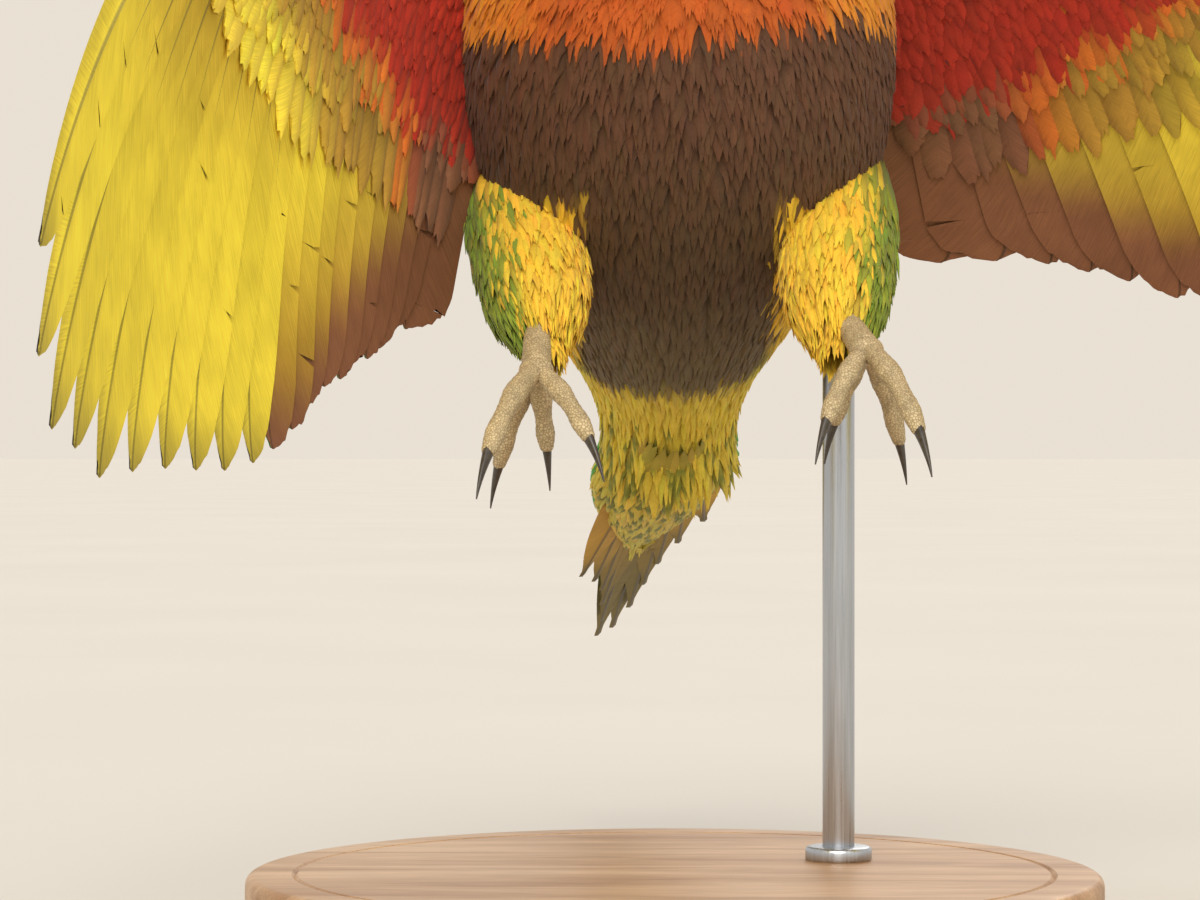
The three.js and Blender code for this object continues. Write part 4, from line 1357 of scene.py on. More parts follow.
def great_coverts(rng, at_share, size, gap):
    """One row of a wing's larger feathers, that share of the way back from the leading edge."""
    at = np.arange(2, 99, gap)
    front, rear = smooth_through(WING_FRONT, at), smooth_through(WING_REAR, at)
    long = size * np.interp(at, (0, 60, 100), (1, 0.95, 0.75)) * (1 + rng.normal(0, 0.04, len(at)))
    return at, front + (rear - front) * at_share, long, np.full(len(at), at_share)


class LORIKEET_OT_wing_coat(bpy.types.Operator):
    """Lays the small feathers on the upper side and the underside of both wings"""

    bl_idname = "lorikeet.wing_coat"
    bl_label = "Wing coverts"

    def execute(self, context):
        colours, sizes = palette(), context.scene.lorikeet_sizes
        for name, wing in WINGS.items():
            line = wing_line(wing)
            for side, slot in (("upper", "plumage_green"), ("under", "plumage_wing")):
                upper = side == "upper"
                rng = draws(60 + wing["side"] + 5 * upper)
                layers = (
                    (0.0, 0.22, covert_rows(sizes, rng)),
                    (-0.15, 0.17, great_coverts(rng, 0.62, 15, 2.6)),
                    (-0.3, 0.17, great_coverts(rng, 0.72, 23 if upper else 21, 3.2)),
                )
                coat = Coat(wing_surface(line, upper), wing_unwrap, round_vane(sizes.fray), rng)
                for lift, slim, (u, v, long, rank) in layers:
                    way = vane_angle(u, wing) * (0.62 + 0.38 * step(0.0, 0.5, rank))
                    way = way + rng.normal(0, 9 * sizes.disorder, len(u))
                    if upper:
                        tip = upper_covert_colours(rank, colours, rng)
                    else:
                        tip_u = u + 0.7 * long * np.cos(np.radians(way))
                        tip = under_covert_colours(tip_u, rank, colours, rng)
                    half, tip_lift = long * slim, 0.2 + lift + 0.08 * rng.normal(0, 1, len(u))
                    coat.lay(u, v, 180 - way, long, half, -0.5 + lift, tip_lift, 0.5, tip, scale=(1, 1))
                if upper:
                    self.lay_alula(coat, colours)
                coat.build(f"coat_wing_{name}_{side}", plumage_material("Wing plumage"), slot)
        return {"FINISHED"}

    def lay_alula(self, coat, colours):
        """Four stiff feathers at the bend of the wing."""
        u = np.array([58.0, 60.5, 63.0, 65.5])
        v = smooth_through(WING_FRONT, u) + np.array([6.0, 4.5, 3.0, 1.6])
        long = np.array([17.0, 20.0, 23.0, 25.0])
        turn = 180 - np.array([30.0, 24.0, 19.0, 14.0])
        green = np.tile(colours.wing_green, (4, 1))
        coat.lay(u, v, turn, long, long * 0.13, 0.3, 0.8, 0.5, green, scale=(1, 1))


def upper_covert_colours(rank, c, rng):
    """Green, brighter along the leading edge, from the palette c."""
    return blur(mix(c.back, c.wing_green, step(0.0, 0.6, rank) * 0.8), rng, 0.06)


def under_covert_colours(u, rank, c, rng):
    """Red near the body and the leading edge, then orange, and yellow towards the flight feathers."""
    reach = u + 30 * rank + 34 * step(0.45, 0.75, rank) + rng.normal(0, 2.5, len(u))
    tip = mix(c.wing_red, c.wing_orange, step(62, 74, reach))
    tip = mix(tip, c.wing_mustard, step(74, 84, reach))
    tip = mix(tip, c.wing_yellow, step(96, 130, reach))
    inner = step(0.6, 0.7, rank) * (1 - step(10, 20, u))
    return blur(mix(tip, c.wing_brown, inner), rng, 0.04)


# Flight and tail feathers


def flight_vane(long, half, tip, rng, shaft_at=-0.3, pointed=2.0, splits=2):
    """One long feather lying along +l: points (l, y, z), their shares, and the faces of both sides.

    Its vane has a raised shaft and a few splits between the barbs, and both sides share one rim.
    """
    # Rows of points along the vane, closer at its root and tip, with three more at each split.
    body = np.linspace(0.16, 1 - tip, 18)[:-1]
    end = 1 - tip + tip * np.sin(np.linspace(0, math.pi / 2, 14))
    t = np.concatenate([(0, 0.03, 0.07, 0.11), body, end])
    cuts = rng.uniform(0.3, 0.93, splits)
    small = 0.45 / long
    t = np.sort(np.concatenate([t, cuts - small, cuts, cuts + small]))
    cut_side = rng.choice((-1, 1), splits)
    # Columns across it, with one on the shaft. A split draws its row's edge in towards the shaft.
    root = np.interp(t, (0, 0.08, 0.3), (0.16, 0.3, 1))
    past = np.clip((t - 1 + tip) / tip, 0, 1)
    narrow = np.sqrt(1 - past**2) if pointed == 2 else 1 - past**pointed
    wide = half * root * np.maximum(0.12, narrow)
    shaft = shaft_at * wide
    core = np.minimum(0.5 * (1 - 0.7 * t), 0.3 * wide)
    lead = np.linspace(0, 1, LEADING)[None, :]
    trail = np.linspace(0, 1, TRAILING)[None, :]
    left = -wide[:, None] + (shaft - core + wide)[:, None] * lead
    right = (shaft + core)[:, None] + (wide - shaft - core)[:, None] * trail
    y = np.concatenate([left, shaft[:, None], right], 1)
    for cut, side in zip(cuts, cut_side):
        k = int(np.argmin(np.abs(t - cut)))
        far = (y[k] - shaft[k]) * side > 0
        y[k, far] = shaft[k] + (y[k, far] - shaft[k]) * rng.uniform(0.45, 0.75)
    rows, columns = y.shape
    l = np.repeat((t * long)[:, None], columns, 1)
    edge = np.abs(np.linspace(-1, 1, columns))[None, :] ** 3
    swept = edge * 0.03 * long * step(0.1, 0.4, t)[:, None] * 0.3
    l = l - swept + rng.normal(0, 0.22, l.shape) * (edge > 0.9)
    share_y = y / np.maximum(wide, 0.3)[:, None]
    body_height = 0.16 * (1 - np.clip(np.abs(share_y), 0, 1) ** 2) + 0.02
    ridge = np.zeros((rows, columns))
    ridge[:, LEADING] = 1
    top = body_height + ridge * (0.5 * (1 - 0.8 * t))[:, None]
    under = -body_height - ridge * (0.6 * (1 - 0.8 * t))[:, None]
    # The under side has points of its own except along the rim.
    index = np.arange(rows * columns).reshape(rows, columns)
    lower = np.full((rows, columns), -1)
    lower[1:-1, 1:-1] = rows * columns + np.arange((rows - 2) * (columns - 2)).reshape(rows - 2, -1)
    lower = np.where(lower < 0, index, lower)
    inside = (slice(1, -1), slice(1, -1))
    rim = np.ones((rows, columns), bool)
    rim[inside] = False
    top[rim] = 0
    stack = lambda a, b: np.concatenate([a.ravel(), b[inside].ravel()])
    points = np.stack([stack(l, l), stack(y, y), stack(top, under)], -1)
    shares = np.stack([stack(l / long, l / long), stack(share_y, share_y)], -1)
    off_shaft = stack(y - shaft[:, None], y - shaft[:, None])
    corners = lambda grid: [grid[:-1, :-1], grid[1:, :-1], grid[1:, 1:], grid[:-1, 1:]]
    cells = lambda grid: np.stack(corners(grid), -1).reshape(-1, 4)
    return points, shares, off_shaft, cells(index), cells(lower)[:, ::-1]


def lay_long_feathers(name, feathers, finish, slot):
    """Joins long feathers, each (vane, place, paint), into one piece.

    place puts the vane's flat points where they belong, and paint colours them.
    """
    points, faces, corner_colours, vane_map, bake_map, offset = [], [], [], [], [], 0
    strips = 2 * len(feathers)
    for i, (vane, place, paint) in enumerate(feathers):
        flat, shares, off_shaft, top, under = vane
        points.append(place(flat))
        quads = np.concatenate([top, under])
        is_top = np.repeat([True, False], [len(top), len(under)])
        corner = quads.ravel()
        corner_top = np.repeat(is_top, 4)
        corner_colours.append(paint(shares[corner, 0], shares[corner, 1], corner_top))
        vane_map.append(np.stack([flat[corner, 0], off_shaft[corner]], -1) * 0.1)
        column = (2 * i + (~corner_top) + 0.5 + 0.45 * np.clip(shares[corner, 1], -1, 1)) / strips
        bake_map.append(np.stack([column, 0.02 + 0.96 * shares[corner, 0]], -1))
        faces.append(quads + offset)
        offset += len(flat)
    points = np.concatenate(points)
    quads = np.concatenate(faces)
    a, b, c = (points[faces[0][:, k]] for k in range(3))
    volume = np.einsum("ij,ij->i", a, np.cross(b - a, c - a)).sum()
    order = slice(None) if volume > 0 else slice(None, None, -1)
    per_face = lambda rows: np.concatenate(rows).reshape(len(quads), 4, -1)
    reorder = lambda rows: per_face(rows)[:, order].reshape(len(quads) * 4, -1)
    colours = reorder(corner_colours)
    piece = mesh_piece(name, points, [quads[:, order]], finish, slot, corner_colours=colours)
    for title, rows in ((VANE_MAP, vane_map), (BAKE_MAP, bake_map)):
        layer = piece.data.uv_layers.new(name=title)
        layer.uv.foreach_set("vector", reorder(rows).astype(np.float32).ravel())
    return piece


def row_of_quills(line, row, wing, rng, paint):
    """The feathers of one row of a wing, set as the part sets them."""
    feathers, count = [], len(row["lengths"])
    first_angle = row["angles"][0] or wing["inner"]
    for i, long in enumerate(row["lengths"]):
        t = i / (count - 1)
        turn = math.radians(mix(first_angle, row["angles"][1], t) + rng.normal(0, 0.5))
        half = mix(*row["half_widths"], t)
        root = mix(*row["root"], t)
        long = long * (1 + rng.normal(0, 0.008))

        def place(flat, turn=turn, root=root):
            x, y, z = flat.T
            u = root[0] + x * math.cos(turn) - y * math.sin(turn)
            v = root[1] + x * math.sin(turn) + y * math.cos(turn)
            return bend(line, u, v, z - 0.05 * y - 0.0024 * y * y)

        vane = flight_vane(long, half, row["tip"], rng, splits=int(rng.integers(1, 4)))
        feathers.append((vane, place, lambda t_, x_, top, i=i: paint(t_, x_, top, i, rng)))
    return feathers


class LORIKEET_OT_flight_feathers(bpy.types.Operator):
    """Sets the primary and secondary flight feathers of both wings"""

    bl_idname = "lorikeet.flight_feathers"
    bl_label = "Flight feathers"

    def execute(self, context):
        c = palette()

        def paint_primary(t, x, top, _, rng):
            upper = mix(c.wing_green, c.wing_dark, step(-0.35, 0.05, x))
            upper = mix(upper, c.wing_dark, step(0.86, 1.0, t))
            # The yellow underside carries painted light shining through the vanes.
            lower = mix(c.wing_mustard * 0.75 + c.wing_yellow * 0.25, c.wing_yellow, step(0.15, 0.6, t))
            lower = mix(lower, c.wing_dusk, 0.6 * step(0.88, 1.0, t))
            lower = mix(lower, c.wing_dusk, 0.2 * step(-0.5, -0.9, x))
            return mix(lower, upper, top) * rng.normal(1, 0.03)

        def paint_secondary(t, x, top, i, rng):
            upper = mix(c.wing_green, c.wing_dark, step(-0.1, 0.3, x) * 0.8)
            strength, end = np.interp(i, (1, 4, 8), (0, 0.7, 1)), np.interp(i, (1, 4, 8), (0.62, 0.72, 0.9))
            band = strength * (1 - step(end - 0.1, end + 0.08, t))
            lower = mix(c.wing_mustard, c.wing_yellow, strength * step(0.9, 0.4, t))
            lower = mix(c.wing_brown, lower, band)
            return mix(lower, upper, top) * rng.normal(1, 0.03)

        kinds = (("primaries", PRIMARIES, paint_primary), ("secondaries", SECONDARIES, paint_secondary))
        finish = quill_material(c.shaft)
        for name, wing in WINGS.items():
            line = wing_line(wing)
            for kind, row, paint in kinds:
                rng = draws(80 + wing["side"] + len(kind))
                feathers = row_of_quills(line, row, wing, rng, paint)
                piece = lay_long_feathers(f"quills_{name}_{kind}", feathers, finish, "wing_feathers")
                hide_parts(f"wing_{name}_{kind}")
        return {"FINISHED"}


class LORIKEET_OT_tail_feathers(bpy.types.Operator):
    """Sets the twelve long feathers of the tail"""

    bl_idname = "lorikeet.tail_feathers"
    bl_label = "Tail feathers"

    def execute(self, context):
        c = palette()

        def paint(t, x, top, i):
            tinged = step(0.0, 0.5, x) * (1 - step(0.3, 0.6, t)) * (i > 0)
            upper = mix(c.tail_green, c.tail_yellow * 0.6 + c.tail_green * 0.4, tinged)
            upper = mix(upper, c.wing_dark, 0.25 * step(0.9, 1, t))
            lobe = np.interp(i, (1, 3, 5), (0, 0.35, 1)) * step(1.02, 0.75, t)
            lower = mix(c.tail_olive, c.tail_yellow, lobe)
            lower = mix(lower, c.tail_olive, 0.8 * step(0.86, 1, t))
            return mix(lower, upper, top)

        for name, picks in (
            ("middle", [(0, 1), (0, -1)]),
            ("left", [(i, 1) for i in range(1, 6)]),
            ("right", [(i, -1) for i in range(1, 6)]),
        ):
            rng = draws(100 + len(name))
            feathers = []
            for i, side in picks:
                angle = math.radians(TAIL_ANGLES[i]) * side
                drop = 0 if i == 0 else -(TAIL_GAP + TAIL_LAYER * i)
                drop += 0.12 * side
                out = side * (TAIL_SPREAD[0] + TAIL_SPREAD[1] * i)

                def place(flat, side=side, angle=angle, drop=drop, out=out):
                    x, y, z = flat.T
                    y = y * side
                    across = x * math.sin(angle) + y * math.cos(angle) + out
                    along = x * math.cos(angle) - y * math.sin(angle)
                    return tail_point(across, along, z + drop - TAIL_ARCH * across * across)

                long, half, shaft_at = TAIL_LENGTHS[i], TAIL_HALF_WIDTHS[i], 0.08 * (i > 0)
                vane = flight_vane(long, half, 0.7, rng, shaft_at, pointed=1.7, splits=1 + i % 2)
                if side < 0:
                    vane = (*vane[:3], vane[3][:, ::-1], vane[4][:, ::-1])
                feathers.append((vane, place, lambda t, x, top, i=i: paint(t, x, top, i)))
            finish = quill_material(c.shaft)
            piece = lay_long_feathers(f"quills_tail_{name}", feathers, finish, "tail_feathers")
            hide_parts(f"tail_{name}")
        return {"FINISHED"}


# Skin


class LORIKEET_OT_skin(bpy.types.Operator):
    """Joins the soft parts into one skin under the feathers, with the same markings"""

    bl_idname = "lorikeet.skin"
    bl_label = "Skin"

    def execute(self, context):
        sizes = context.scene.lorikeet_sizes
        flesh = ["head", "neck", "trunk", "rump", "tail_coverts_under", "tail_coverts_upper"]
        for name in WINGS:
            flesh += [f"wing_{name}_arm", f"wing_{name}_hand", f"leg_{name}_thigh"]
        start_clean()
        for name in flesh:
            NODES[name].select_set(True)
        bpy.context.view_layer.objects.active = NODES["trunk"]
        bpy.ops.object.duplicate()
        bpy.ops.object.parent_clear(type="CLEAR_KEEP_TRANSFORM")
        bpy.ops.object.join()
        skin = name_new("skin")
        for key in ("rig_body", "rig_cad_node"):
            if key in skin:
                del skin[key]
        with edit_mode():
            bpy.ops.mesh.select_all(action="SELECT")
            bpy.ops.mesh.remove_doubles(threshold=1e-6)
        # The swelling closes the cuts between the nodes, and the remesh makes them one surface.
        apply_modifier(skin, "DISPLACE", strength=0.25 * MM, mid_level=0)
        apply_modifier(skin, "REMESH", mode="VOXEL", voxel_size=sizes.skin_grain, use_smooth_shade=True)
        self.weigh(skin)
        apply_modifier(skin, "SMOOTH", factor=0.5, iterations=6)
        sunk = -sizes.coat_depth * 0.85
        apply_modifier(skin, "DISPLACE", strength=sunk, mid_level=0, vertex_group=DEPTH_GROUP)
        self.colour(skin)
        finish_piece(skin, skin_material(), "plumage_body", *flesh)
        return {"FINISHED"}

    def weigh(self, skin):
        """Sets how far the skin sinks under the coat: fully on the body, less on the wings and the face."""
        places = np.empty(len(skin.data.vertices) * 3, np.float32)
        skin.data.vertices.foreach_get("co", places)
        places = places.reshape(-1, 3) / MM
        on_body = 1 - 0.8 * step(33, 42, np.abs(places[:, 0]))
        on_body *= 1 - 0.6 * step(166, 176, places[:, 2]) * step(-30, -44, places[:, 1])
        depth, levels = skin.vertex_groups.new(name=DEPTH_GROUP), np.round(on_body, 2)
        for level in np.unique(levels):
            depth.add(np.flatnonzero(levels == level).tolist(), float(level), "REPLACE")

    def colour(self, skin):
        """Gives the skin the colour of the nearest feathers, a fifth darker as painted shade under the coat.
        """
        places = np.concatenate([rows[0] for rows in ROOTS]) * MM
        colours = np.concatenate([rows[1] for rows in ROOTS])
        tree = kdtree.KDTree(len(places))
        for i, place in enumerate(places):
            tree.insert(place, i)
        tree.balance()
        rgba = np.ones((len(skin.data.vertices), 4), np.float32)
        for vertex in skin.data.vertices:
            near = [i for _, i, _ in tree.find_n(vertex.co, 3)]
            # A fifth darker than the feathers: painted shade under the coat.
            rgba[vertex.index, :3] = colours[near].mean(0) * 0.8
        layer = skin.data.color_attributes.new(PLUMAGE, "FLOAT_COLOR", "POINT")
        layer.data.foreach_set("color", rgba.ravel())


# Bare parts

# With no window, the rotate operator turns the other way.
TURN_SIGN = -1


def ring_limb(name, rings, sides, place, facing):
    """A round limb made by extruding a disc through rings, each (x, z, half width, half height, tilt).

    It is made along +X in the XZ plane and then turned by facing and moved. Sizes are in millimetres.
    """
    start_clean()
    bpy.ops.mesh.primitive_circle_add(
        vertices=sides, radius=MM, fill_type="NGON", location=(0, 0, 0), rotation=(0, math.pi / 2, 0)
    )
    limb = name_new(name)
    bpy.ops.object.transform_apply(location=False, rotation=True, scale=False)
    with edit_mode():
        bpy.ops.mesh.select_all(action="SELECT")
        held = (0.0, 0.0, 1.0, 1.0, 0.0)
        for i, (x, z, wide, high, tilt) in enumerate(rings):
            shift = ((x - held[0]) * MM, 0, (z - held[1]) * MM)
            centre = (x * MM, 0, z * MM)
            if i:
                bpy.ops.mesh.extrude_region_move(TRANSFORM_OT_translate={"value": shift})
            else:
                bpy.ops.transform.translate(value=shift)
            grow_high, turn = high / held[3], tilt - held[4]
            bpy.ops.transform.resize(value=(grow_high, wide / held[2], grow_high), center_override=centre)
            if abs(turn) > 1e-6:
                bpy.ops.transform.rotate(value=TURN_SIGN * turn, orient_axis="Y", center_override=centre)
            held = (x, z, wide, high, tilt)
        bpy.ops.mesh.select_all(action="SELECT")
        bpy.ops.mesh.normals_make_consistent(inside=False)
    limb.rotation_mode = "QUATERNION"
    limb.rotation_quaternion = facing
    limb.location = Vector(place) * MM
    bpy.ops.object.transform_apply(location=True, rotation=True, scale=False)
    bpy.ops.object.shade_smooth_by_angle(angle=math.radians(60))
    return limb


def turned(angle):
    """A turn about the vertical."""
    return Quaternion((0, 0, 1), angle)


def along_path(points, count):
    """Even places along a smooth path through in-plane points, with the tilt of each."""
    points = np.array(points, float)
    chords = np.concatenate([[0], np.cumsum(np.linalg.norm(np.diff(points, axis=0), axis=1))])
    fine = np.linspace(0, chords[-1], 200)
    line = np.stack([smooth_through(list(zip(chords, points[:, k])), fine) for k in (0, 1)], -1)
    run = np.concatenate([[0], np.cumsum(np.linalg.norm(np.diff(line, axis=0), axis=1))])
    at = np.linspace(0, run[-1], count)
    x, z = (np.interp(at, run, line[:, k]) for k in (0, 1))
    way = np.gradient(np.stack([x, z], -1), axis=0)
    return x, z, np.arctan2(-way[:, 1], way[:, 0])


def curve_points(start, middle, end, count=12):
    """Points of the curve from start to end that bends towards middle."""
    t = np.linspace(0, 1, count)[:, None]
    return (1 - t) ** 2 * np.array(start) + 2 * t * (1 - t) * np.array(middle) + t * t * np.array(end)


def join_pieces(pieces, name):
    """Makes one object of several."""
    start_clean()
    for piece in pieces:
        piece.select_set(True)
    bpy.context.view_layer.objects.active = pieces[0]
    bpy.ops.object.join()
    pieces[0].name = pieces[0].data.name = name
    return pieces[0]


def finish_piece(piece, finish, slot, *nodes):
    """Gives a piece its material, and lets it stand for nodes of the part."""
    piece.data.materials.clear()
    piece.data.materials.append(finish)
    settle(piece, slot)
    if nodes:
        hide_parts(*nodes)
    return piece


def bill_rings(bill, count):
    """Rings of one half of the bill, in the plane of symmetry with forward as +x."""
    pitch = math.radians(HEAD_PITCH)
    cos, sin = math.cos(pitch), math.sin(pitch)
    points = [(ahead * cos - above * sin, ahead * sin + above * cos) for ahead, above in bill["line"]]
    x, z, tilt = along_path(points, count)
    t = np.linspace(0, 1, count)
    wide, high = (smooth_through(bill[key], t) for key in ("half_widths", "half_heights"))
    return list(zip(x, z, wide, high, tilt))


class LORIKEET_OT_bill(bpy.types.Operator):
    """Shapes the hooked bill and the cere with its nostrils"""

    bl_idname = "lorikeet.bill"
    bl_label = "Bill"

    def execute(self, context):
        forward = turned(-math.pi / 2)
        for half, bill, count, sign in (("upper", UPPER_BILL, 26, 1), ("lower", LOWER_BILL, 18, -1)):
            piece = ring_limb(f"bill_{half}_horn", bill_rings(bill, count), 28, BILL_BASE, forward)
            self.pinch(piece, sign)
            smooth_out(piece)
            finish_piece(piece, bill_material(), "bill", f"bill_{half}")
        self.muzzle(forward)
        self.cere(forward)
        return {"FINISHED"}

    def muzzle(self, forward):
        """Soft skin that closes the face round the bill's root, under the smallest feathers."""
        rings = []
        depths = ((146.5, 2.2), (148, 1.4), (149, 1.1), (150.2, 0.9), (151.4, 0.9), (152.4, 0.9), (153, 0.9))
        for at, under in depths:
            stations = (COAT_SIDE, COAT_BACK, COAT_BELLY)
            side, back, belly = (float(smooth_through(rows, at)) for rows in stations)
            place, way, up = spine_frame(at)
            place = place + up * (back - belly) / 2 - BILL_BASE
            tilt = math.atan2(way[2], -way[1])
            rings.append((-place[1], place[2], side - under, (back + belly) / 2 - under, tilt))
        muzzle = ring_limb("muzzle", rings, 28, BILL_BASE, forward)
        finish_piece(muzzle, bare_skin_material("Face skin", "face_skin"), "plumage_head")

    def pinch(self, piece, sign):
        """Draws the ridge of the upper half up (sign 1), or that of the lower half down (sign -1)."""
        deselect_mesh()
        for vertex in piece.data.vertices:
            normal = vertex.normal
            vertex.select = sign * normal.z - normal.y * 0.5 > 0.86 and abs(vertex.co.x) < 1.2 * MM
        with edit_mode():
            bpy.ops.transform.translate(value=(0, 0, sign * 0.22 * MM))

    def cere(self, forward):
        """The bare band over the root of the bill, with a nostril on each side."""
        fine, rings = bill_rings(UPPER_BILL, 101), []
        for i, proud in ((9, -0.5), (13, 0.3), (17, 0.5), (20, 0.5), (23, 0.38), (26, 0.1), (28, -0.4)):
            x, z, wide, high, tilt = fine[i]
            rings.append((x, z, wide + proud, high + proud, tilt))
        cere = ring_limb("cere", rings, 32, BILL_BASE, forward)
        top = max(vertex.co.z for vertex in cere.data.vertices)
        deselect_mesh()
        for side in (-1, 1):
            nostril = Vector((side * 2.9 * MM, BILL_BASE[1] * MM - 1.6 * MM, top - 0.9 * MM))
            min(cere.data.polygons, key=lambda face: (face.center - nostril).length).select = True
        with edit_mode():
            bpy.ops.mesh.select_mode(type="FACE")
            bpy.ops.mesh.inset(thickness=0.14 * MM, depth=0)
            bpy.ops.mesh.inset(thickness=0.1 * MM, depth=-0.5 * MM)
            bpy.ops.mesh.select_mode(type="VERT")
        smooth_out(cere, 2)
        finish_piece(cere, bare_skin_material("Cere skin", "cere"), "bill")


def eye_seat(side):
    """The middle of an eye, in millimetres, and the way that it looks: square to the face."""
    centre, angle = eye_level()
    x = float(smooth_through(SIDE_STATIONS, EYE_AT)) * math.cos(angle) + EYE_PROUD - EYE_RADIUS
    ahead = body_point(EYE_AT + 3, angle) - body_point(EYE_AT - 3, angle)
    round_ = body_point(EYE_AT, angle + 0.2) - body_point(EYE_AT, angle - 0.2)
    way = unit(np.cross(round_, ahead))
    way = way * math.copysign(1, way[0])
    return on_side(side, (x, *centre[1:])), Vector(on_side(side, way))


class LORIKEET_OT_eyes(bpy.types.Operator):
    """Sets both eyes with their lids and the bare ring round them"""

    bl_idname = "lorikeet.eyes"
    bl_label = "Eyes"

    def execute(self, context):
        # The lids' section, by distance out from the eye's middle and radius.
        profile = (
            (-0.6, 4.5), (0.6, 4.4), (1.5, 4.1), (2.1, 3.82), (2.48, 3.6), (2.54, 3.48), (2.74, 3.34),
            (2.78, 3.26), (2.98, 3.1), (3.1, 2.93), (3.1, 2.8), (2.95, 2.72), (2.2, 2.65),
        )
        rings = [(x, 0, radius * 1.03, radius * 0.97, 0.0) for x, radius in profile]
        for name, side in (("left", 1), ("right", -1)):
            centre, way = eye_seat(side)
            start_clean()
            bpy.ops.mesh.primitive_uv_sphere_add(
                segments=48, ring_count=32, radius=EYE_RADIUS * MM, location=Vector(centre) * MM,
                rotation=way.to_track_quat("Z", "Y").to_euler(),
            )
            ball = name_new(f"eyeball_{name}")
            bpy.ops.object.transform_apply(location=True, rotation=True, scale=False)
            bpy.ops.object.shade_smooth()
            facing = way.to_track_quat("X", "Z")
            finish_piece(ball, eye_material(f"Eye {name}", centre, facing), "eye", f"eye_{name}")
            lids = ring_limb(f"eyelids_{name}", rings, 40, centre, facing)
            smooth_out(lids)
            finish_piece(lids, bare_skin_material("Eye ring skin", "eye_ring"), "eye")
        return {"FINISHED"}


def toe_plane(leg, toe):
    """A toe's heading, and the points of its curve in its own upright plane."""
    long, _, _ = TOES[toe]
    out, forward, down = leg["toes"][toe]
    way = unit(np.array([leg["side"] * out, -forward, -down]))
    level = math.hypot(way[0], way[1])
    at = lambda t, curl: (level * long * t, way[2] * long * t - long * curl)
    return math.atan2(way[1], way[0]), curve_points(at(0, 0), at(0.5, -TOE_CURL / 3), at(1, TOE_CURL), 16)


def scutes(count, depth):
    """Factors that make every other ring of a limb thicker, like the rings of scales."""
    return 1 + depth * (np.arange(count) % 2 * 2 - 1)


class LORIKEET_OT_feet(bpy.types.Operator):
    """Shapes the scaled shanks and toes, and the hooked claws"""

    bl_idname = "lorikeet.feet"
    bl_label = "Feet"

    def execute(self, context):
        for name, leg in LEGS.items():
            sole = on_side(leg["side"], leg["sole"])
            pieces, claws = [self.shank(leg, sole)], []
            for toe, (_, claw_long, radius) in TOES.items():
                turn, path = toe_plane(leg, toe)
                pieces.append(self.toe(path, turn, sole, radius))
                claws.append(self.claw(path, turn, sole, claw_long, radius))
            pieces.append(self.pad(sole))
            foot = join_pieces(pieces, f"foot_{name}")
            smooth_out(foot)
            nodes = [f"leg_{name}_shank"] + [f"leg_{name}_toe_{toe}" for toe in TOES]
            finish_piece(foot, foot_material(), "foot_skin", *nodes)
            hooks = join_pieces(claws, f"claws_{name}")
            finish_piece(hooks, claw_material(), "claw", *[f"leg_{name}_claw_{toe}" for toe in TOES])
        return {"FINISHED"}

    def shank(self, leg, sole, count=25):
        """The bare shank, from inside the thigh down to the sole, ringed by scales."""
        ankle, hip = (on_side(leg["side"], leg[key]) for key in ("ankle", "hip"))
        knee = ankle + (hip - ankle) * 0.12
        line = sole - knee
        level = math.hypot(line[0], line[1])
        t = np.linspace(0, 1, count)
        tilt = math.atan2(-line[2], level)
        size = 2.0 * (1 + 0.15 * t + 0.12 * np.exp(-((t / 0.12) ** 2))) * scutes(count, 0.03)
        rings = [(level * k, line[2] * k, r * 0.98, r, tilt) for k, r in zip(t, size)]
        return ring_limb("shank", rings, 16, knee, turned(math.atan2(line[1], line[0])))

    def toe(self, path, turn, sole, radius, count=27):
        """One toe, with a pad under each joint and rings of scales."""
        x, z, tilt = along_path(path, count)
        t = np.linspace(0, 1, count)
        swell = 0.94 + 0.2 * np.exp(-(((t - 0.4) / 0.11) ** 2)) + 0.24 * np.exp(-(((t - 0.8) / 0.1) ** 2))
        size = radius * (1.08 - 0.34 * t) * swell * scutes(count, 0.055)
        size[-2:] *= (0.94, 0.7)
        return ring_limb("toe", list(zip(x, z, size * 1.04, size, tilt)), 14, sole, turned(turn))

    def claw(self, path, turn, sole, claw_long, radius, count=12):
        """One hooked claw, that grows out of the end of its toe."""
        way = unit(path[-1] - path[-2])
        start = path[-1] - way * radius * 0.8
        middle = start + way * (radius * 0.8 + claw_long * 0.5)
        hook = unit(way + np.array([0, -CLAW_HOOK]))
        x, z, tilt = along_path(curve_points(start, middle, middle + hook * claw_long * 0.55), count)
        size = radius * (0.68 - 0.6 * np.linspace(0, 1, count) ** 0.9)
        return ring_limb("claw", list(zip(x, z, size * 0.8, size, tilt)), 12, sole, turned(turn))

    def pad(self, sole):
        """The pad in which the toes meet."""
        start_clean()
        bpy.ops.mesh.primitive_uv_sphere_add(
            segments=20, ring_count=14, radius=2.5 * MM, location=Vector(sole) * MM, scale=(1.05, 1.0, 0.85)
        )
        bpy.ops.object.transform_apply(location=True, rotation=True, scale=True)
        bpy.ops.object.shade_smooth()
        return name_new("pad")


# Stand


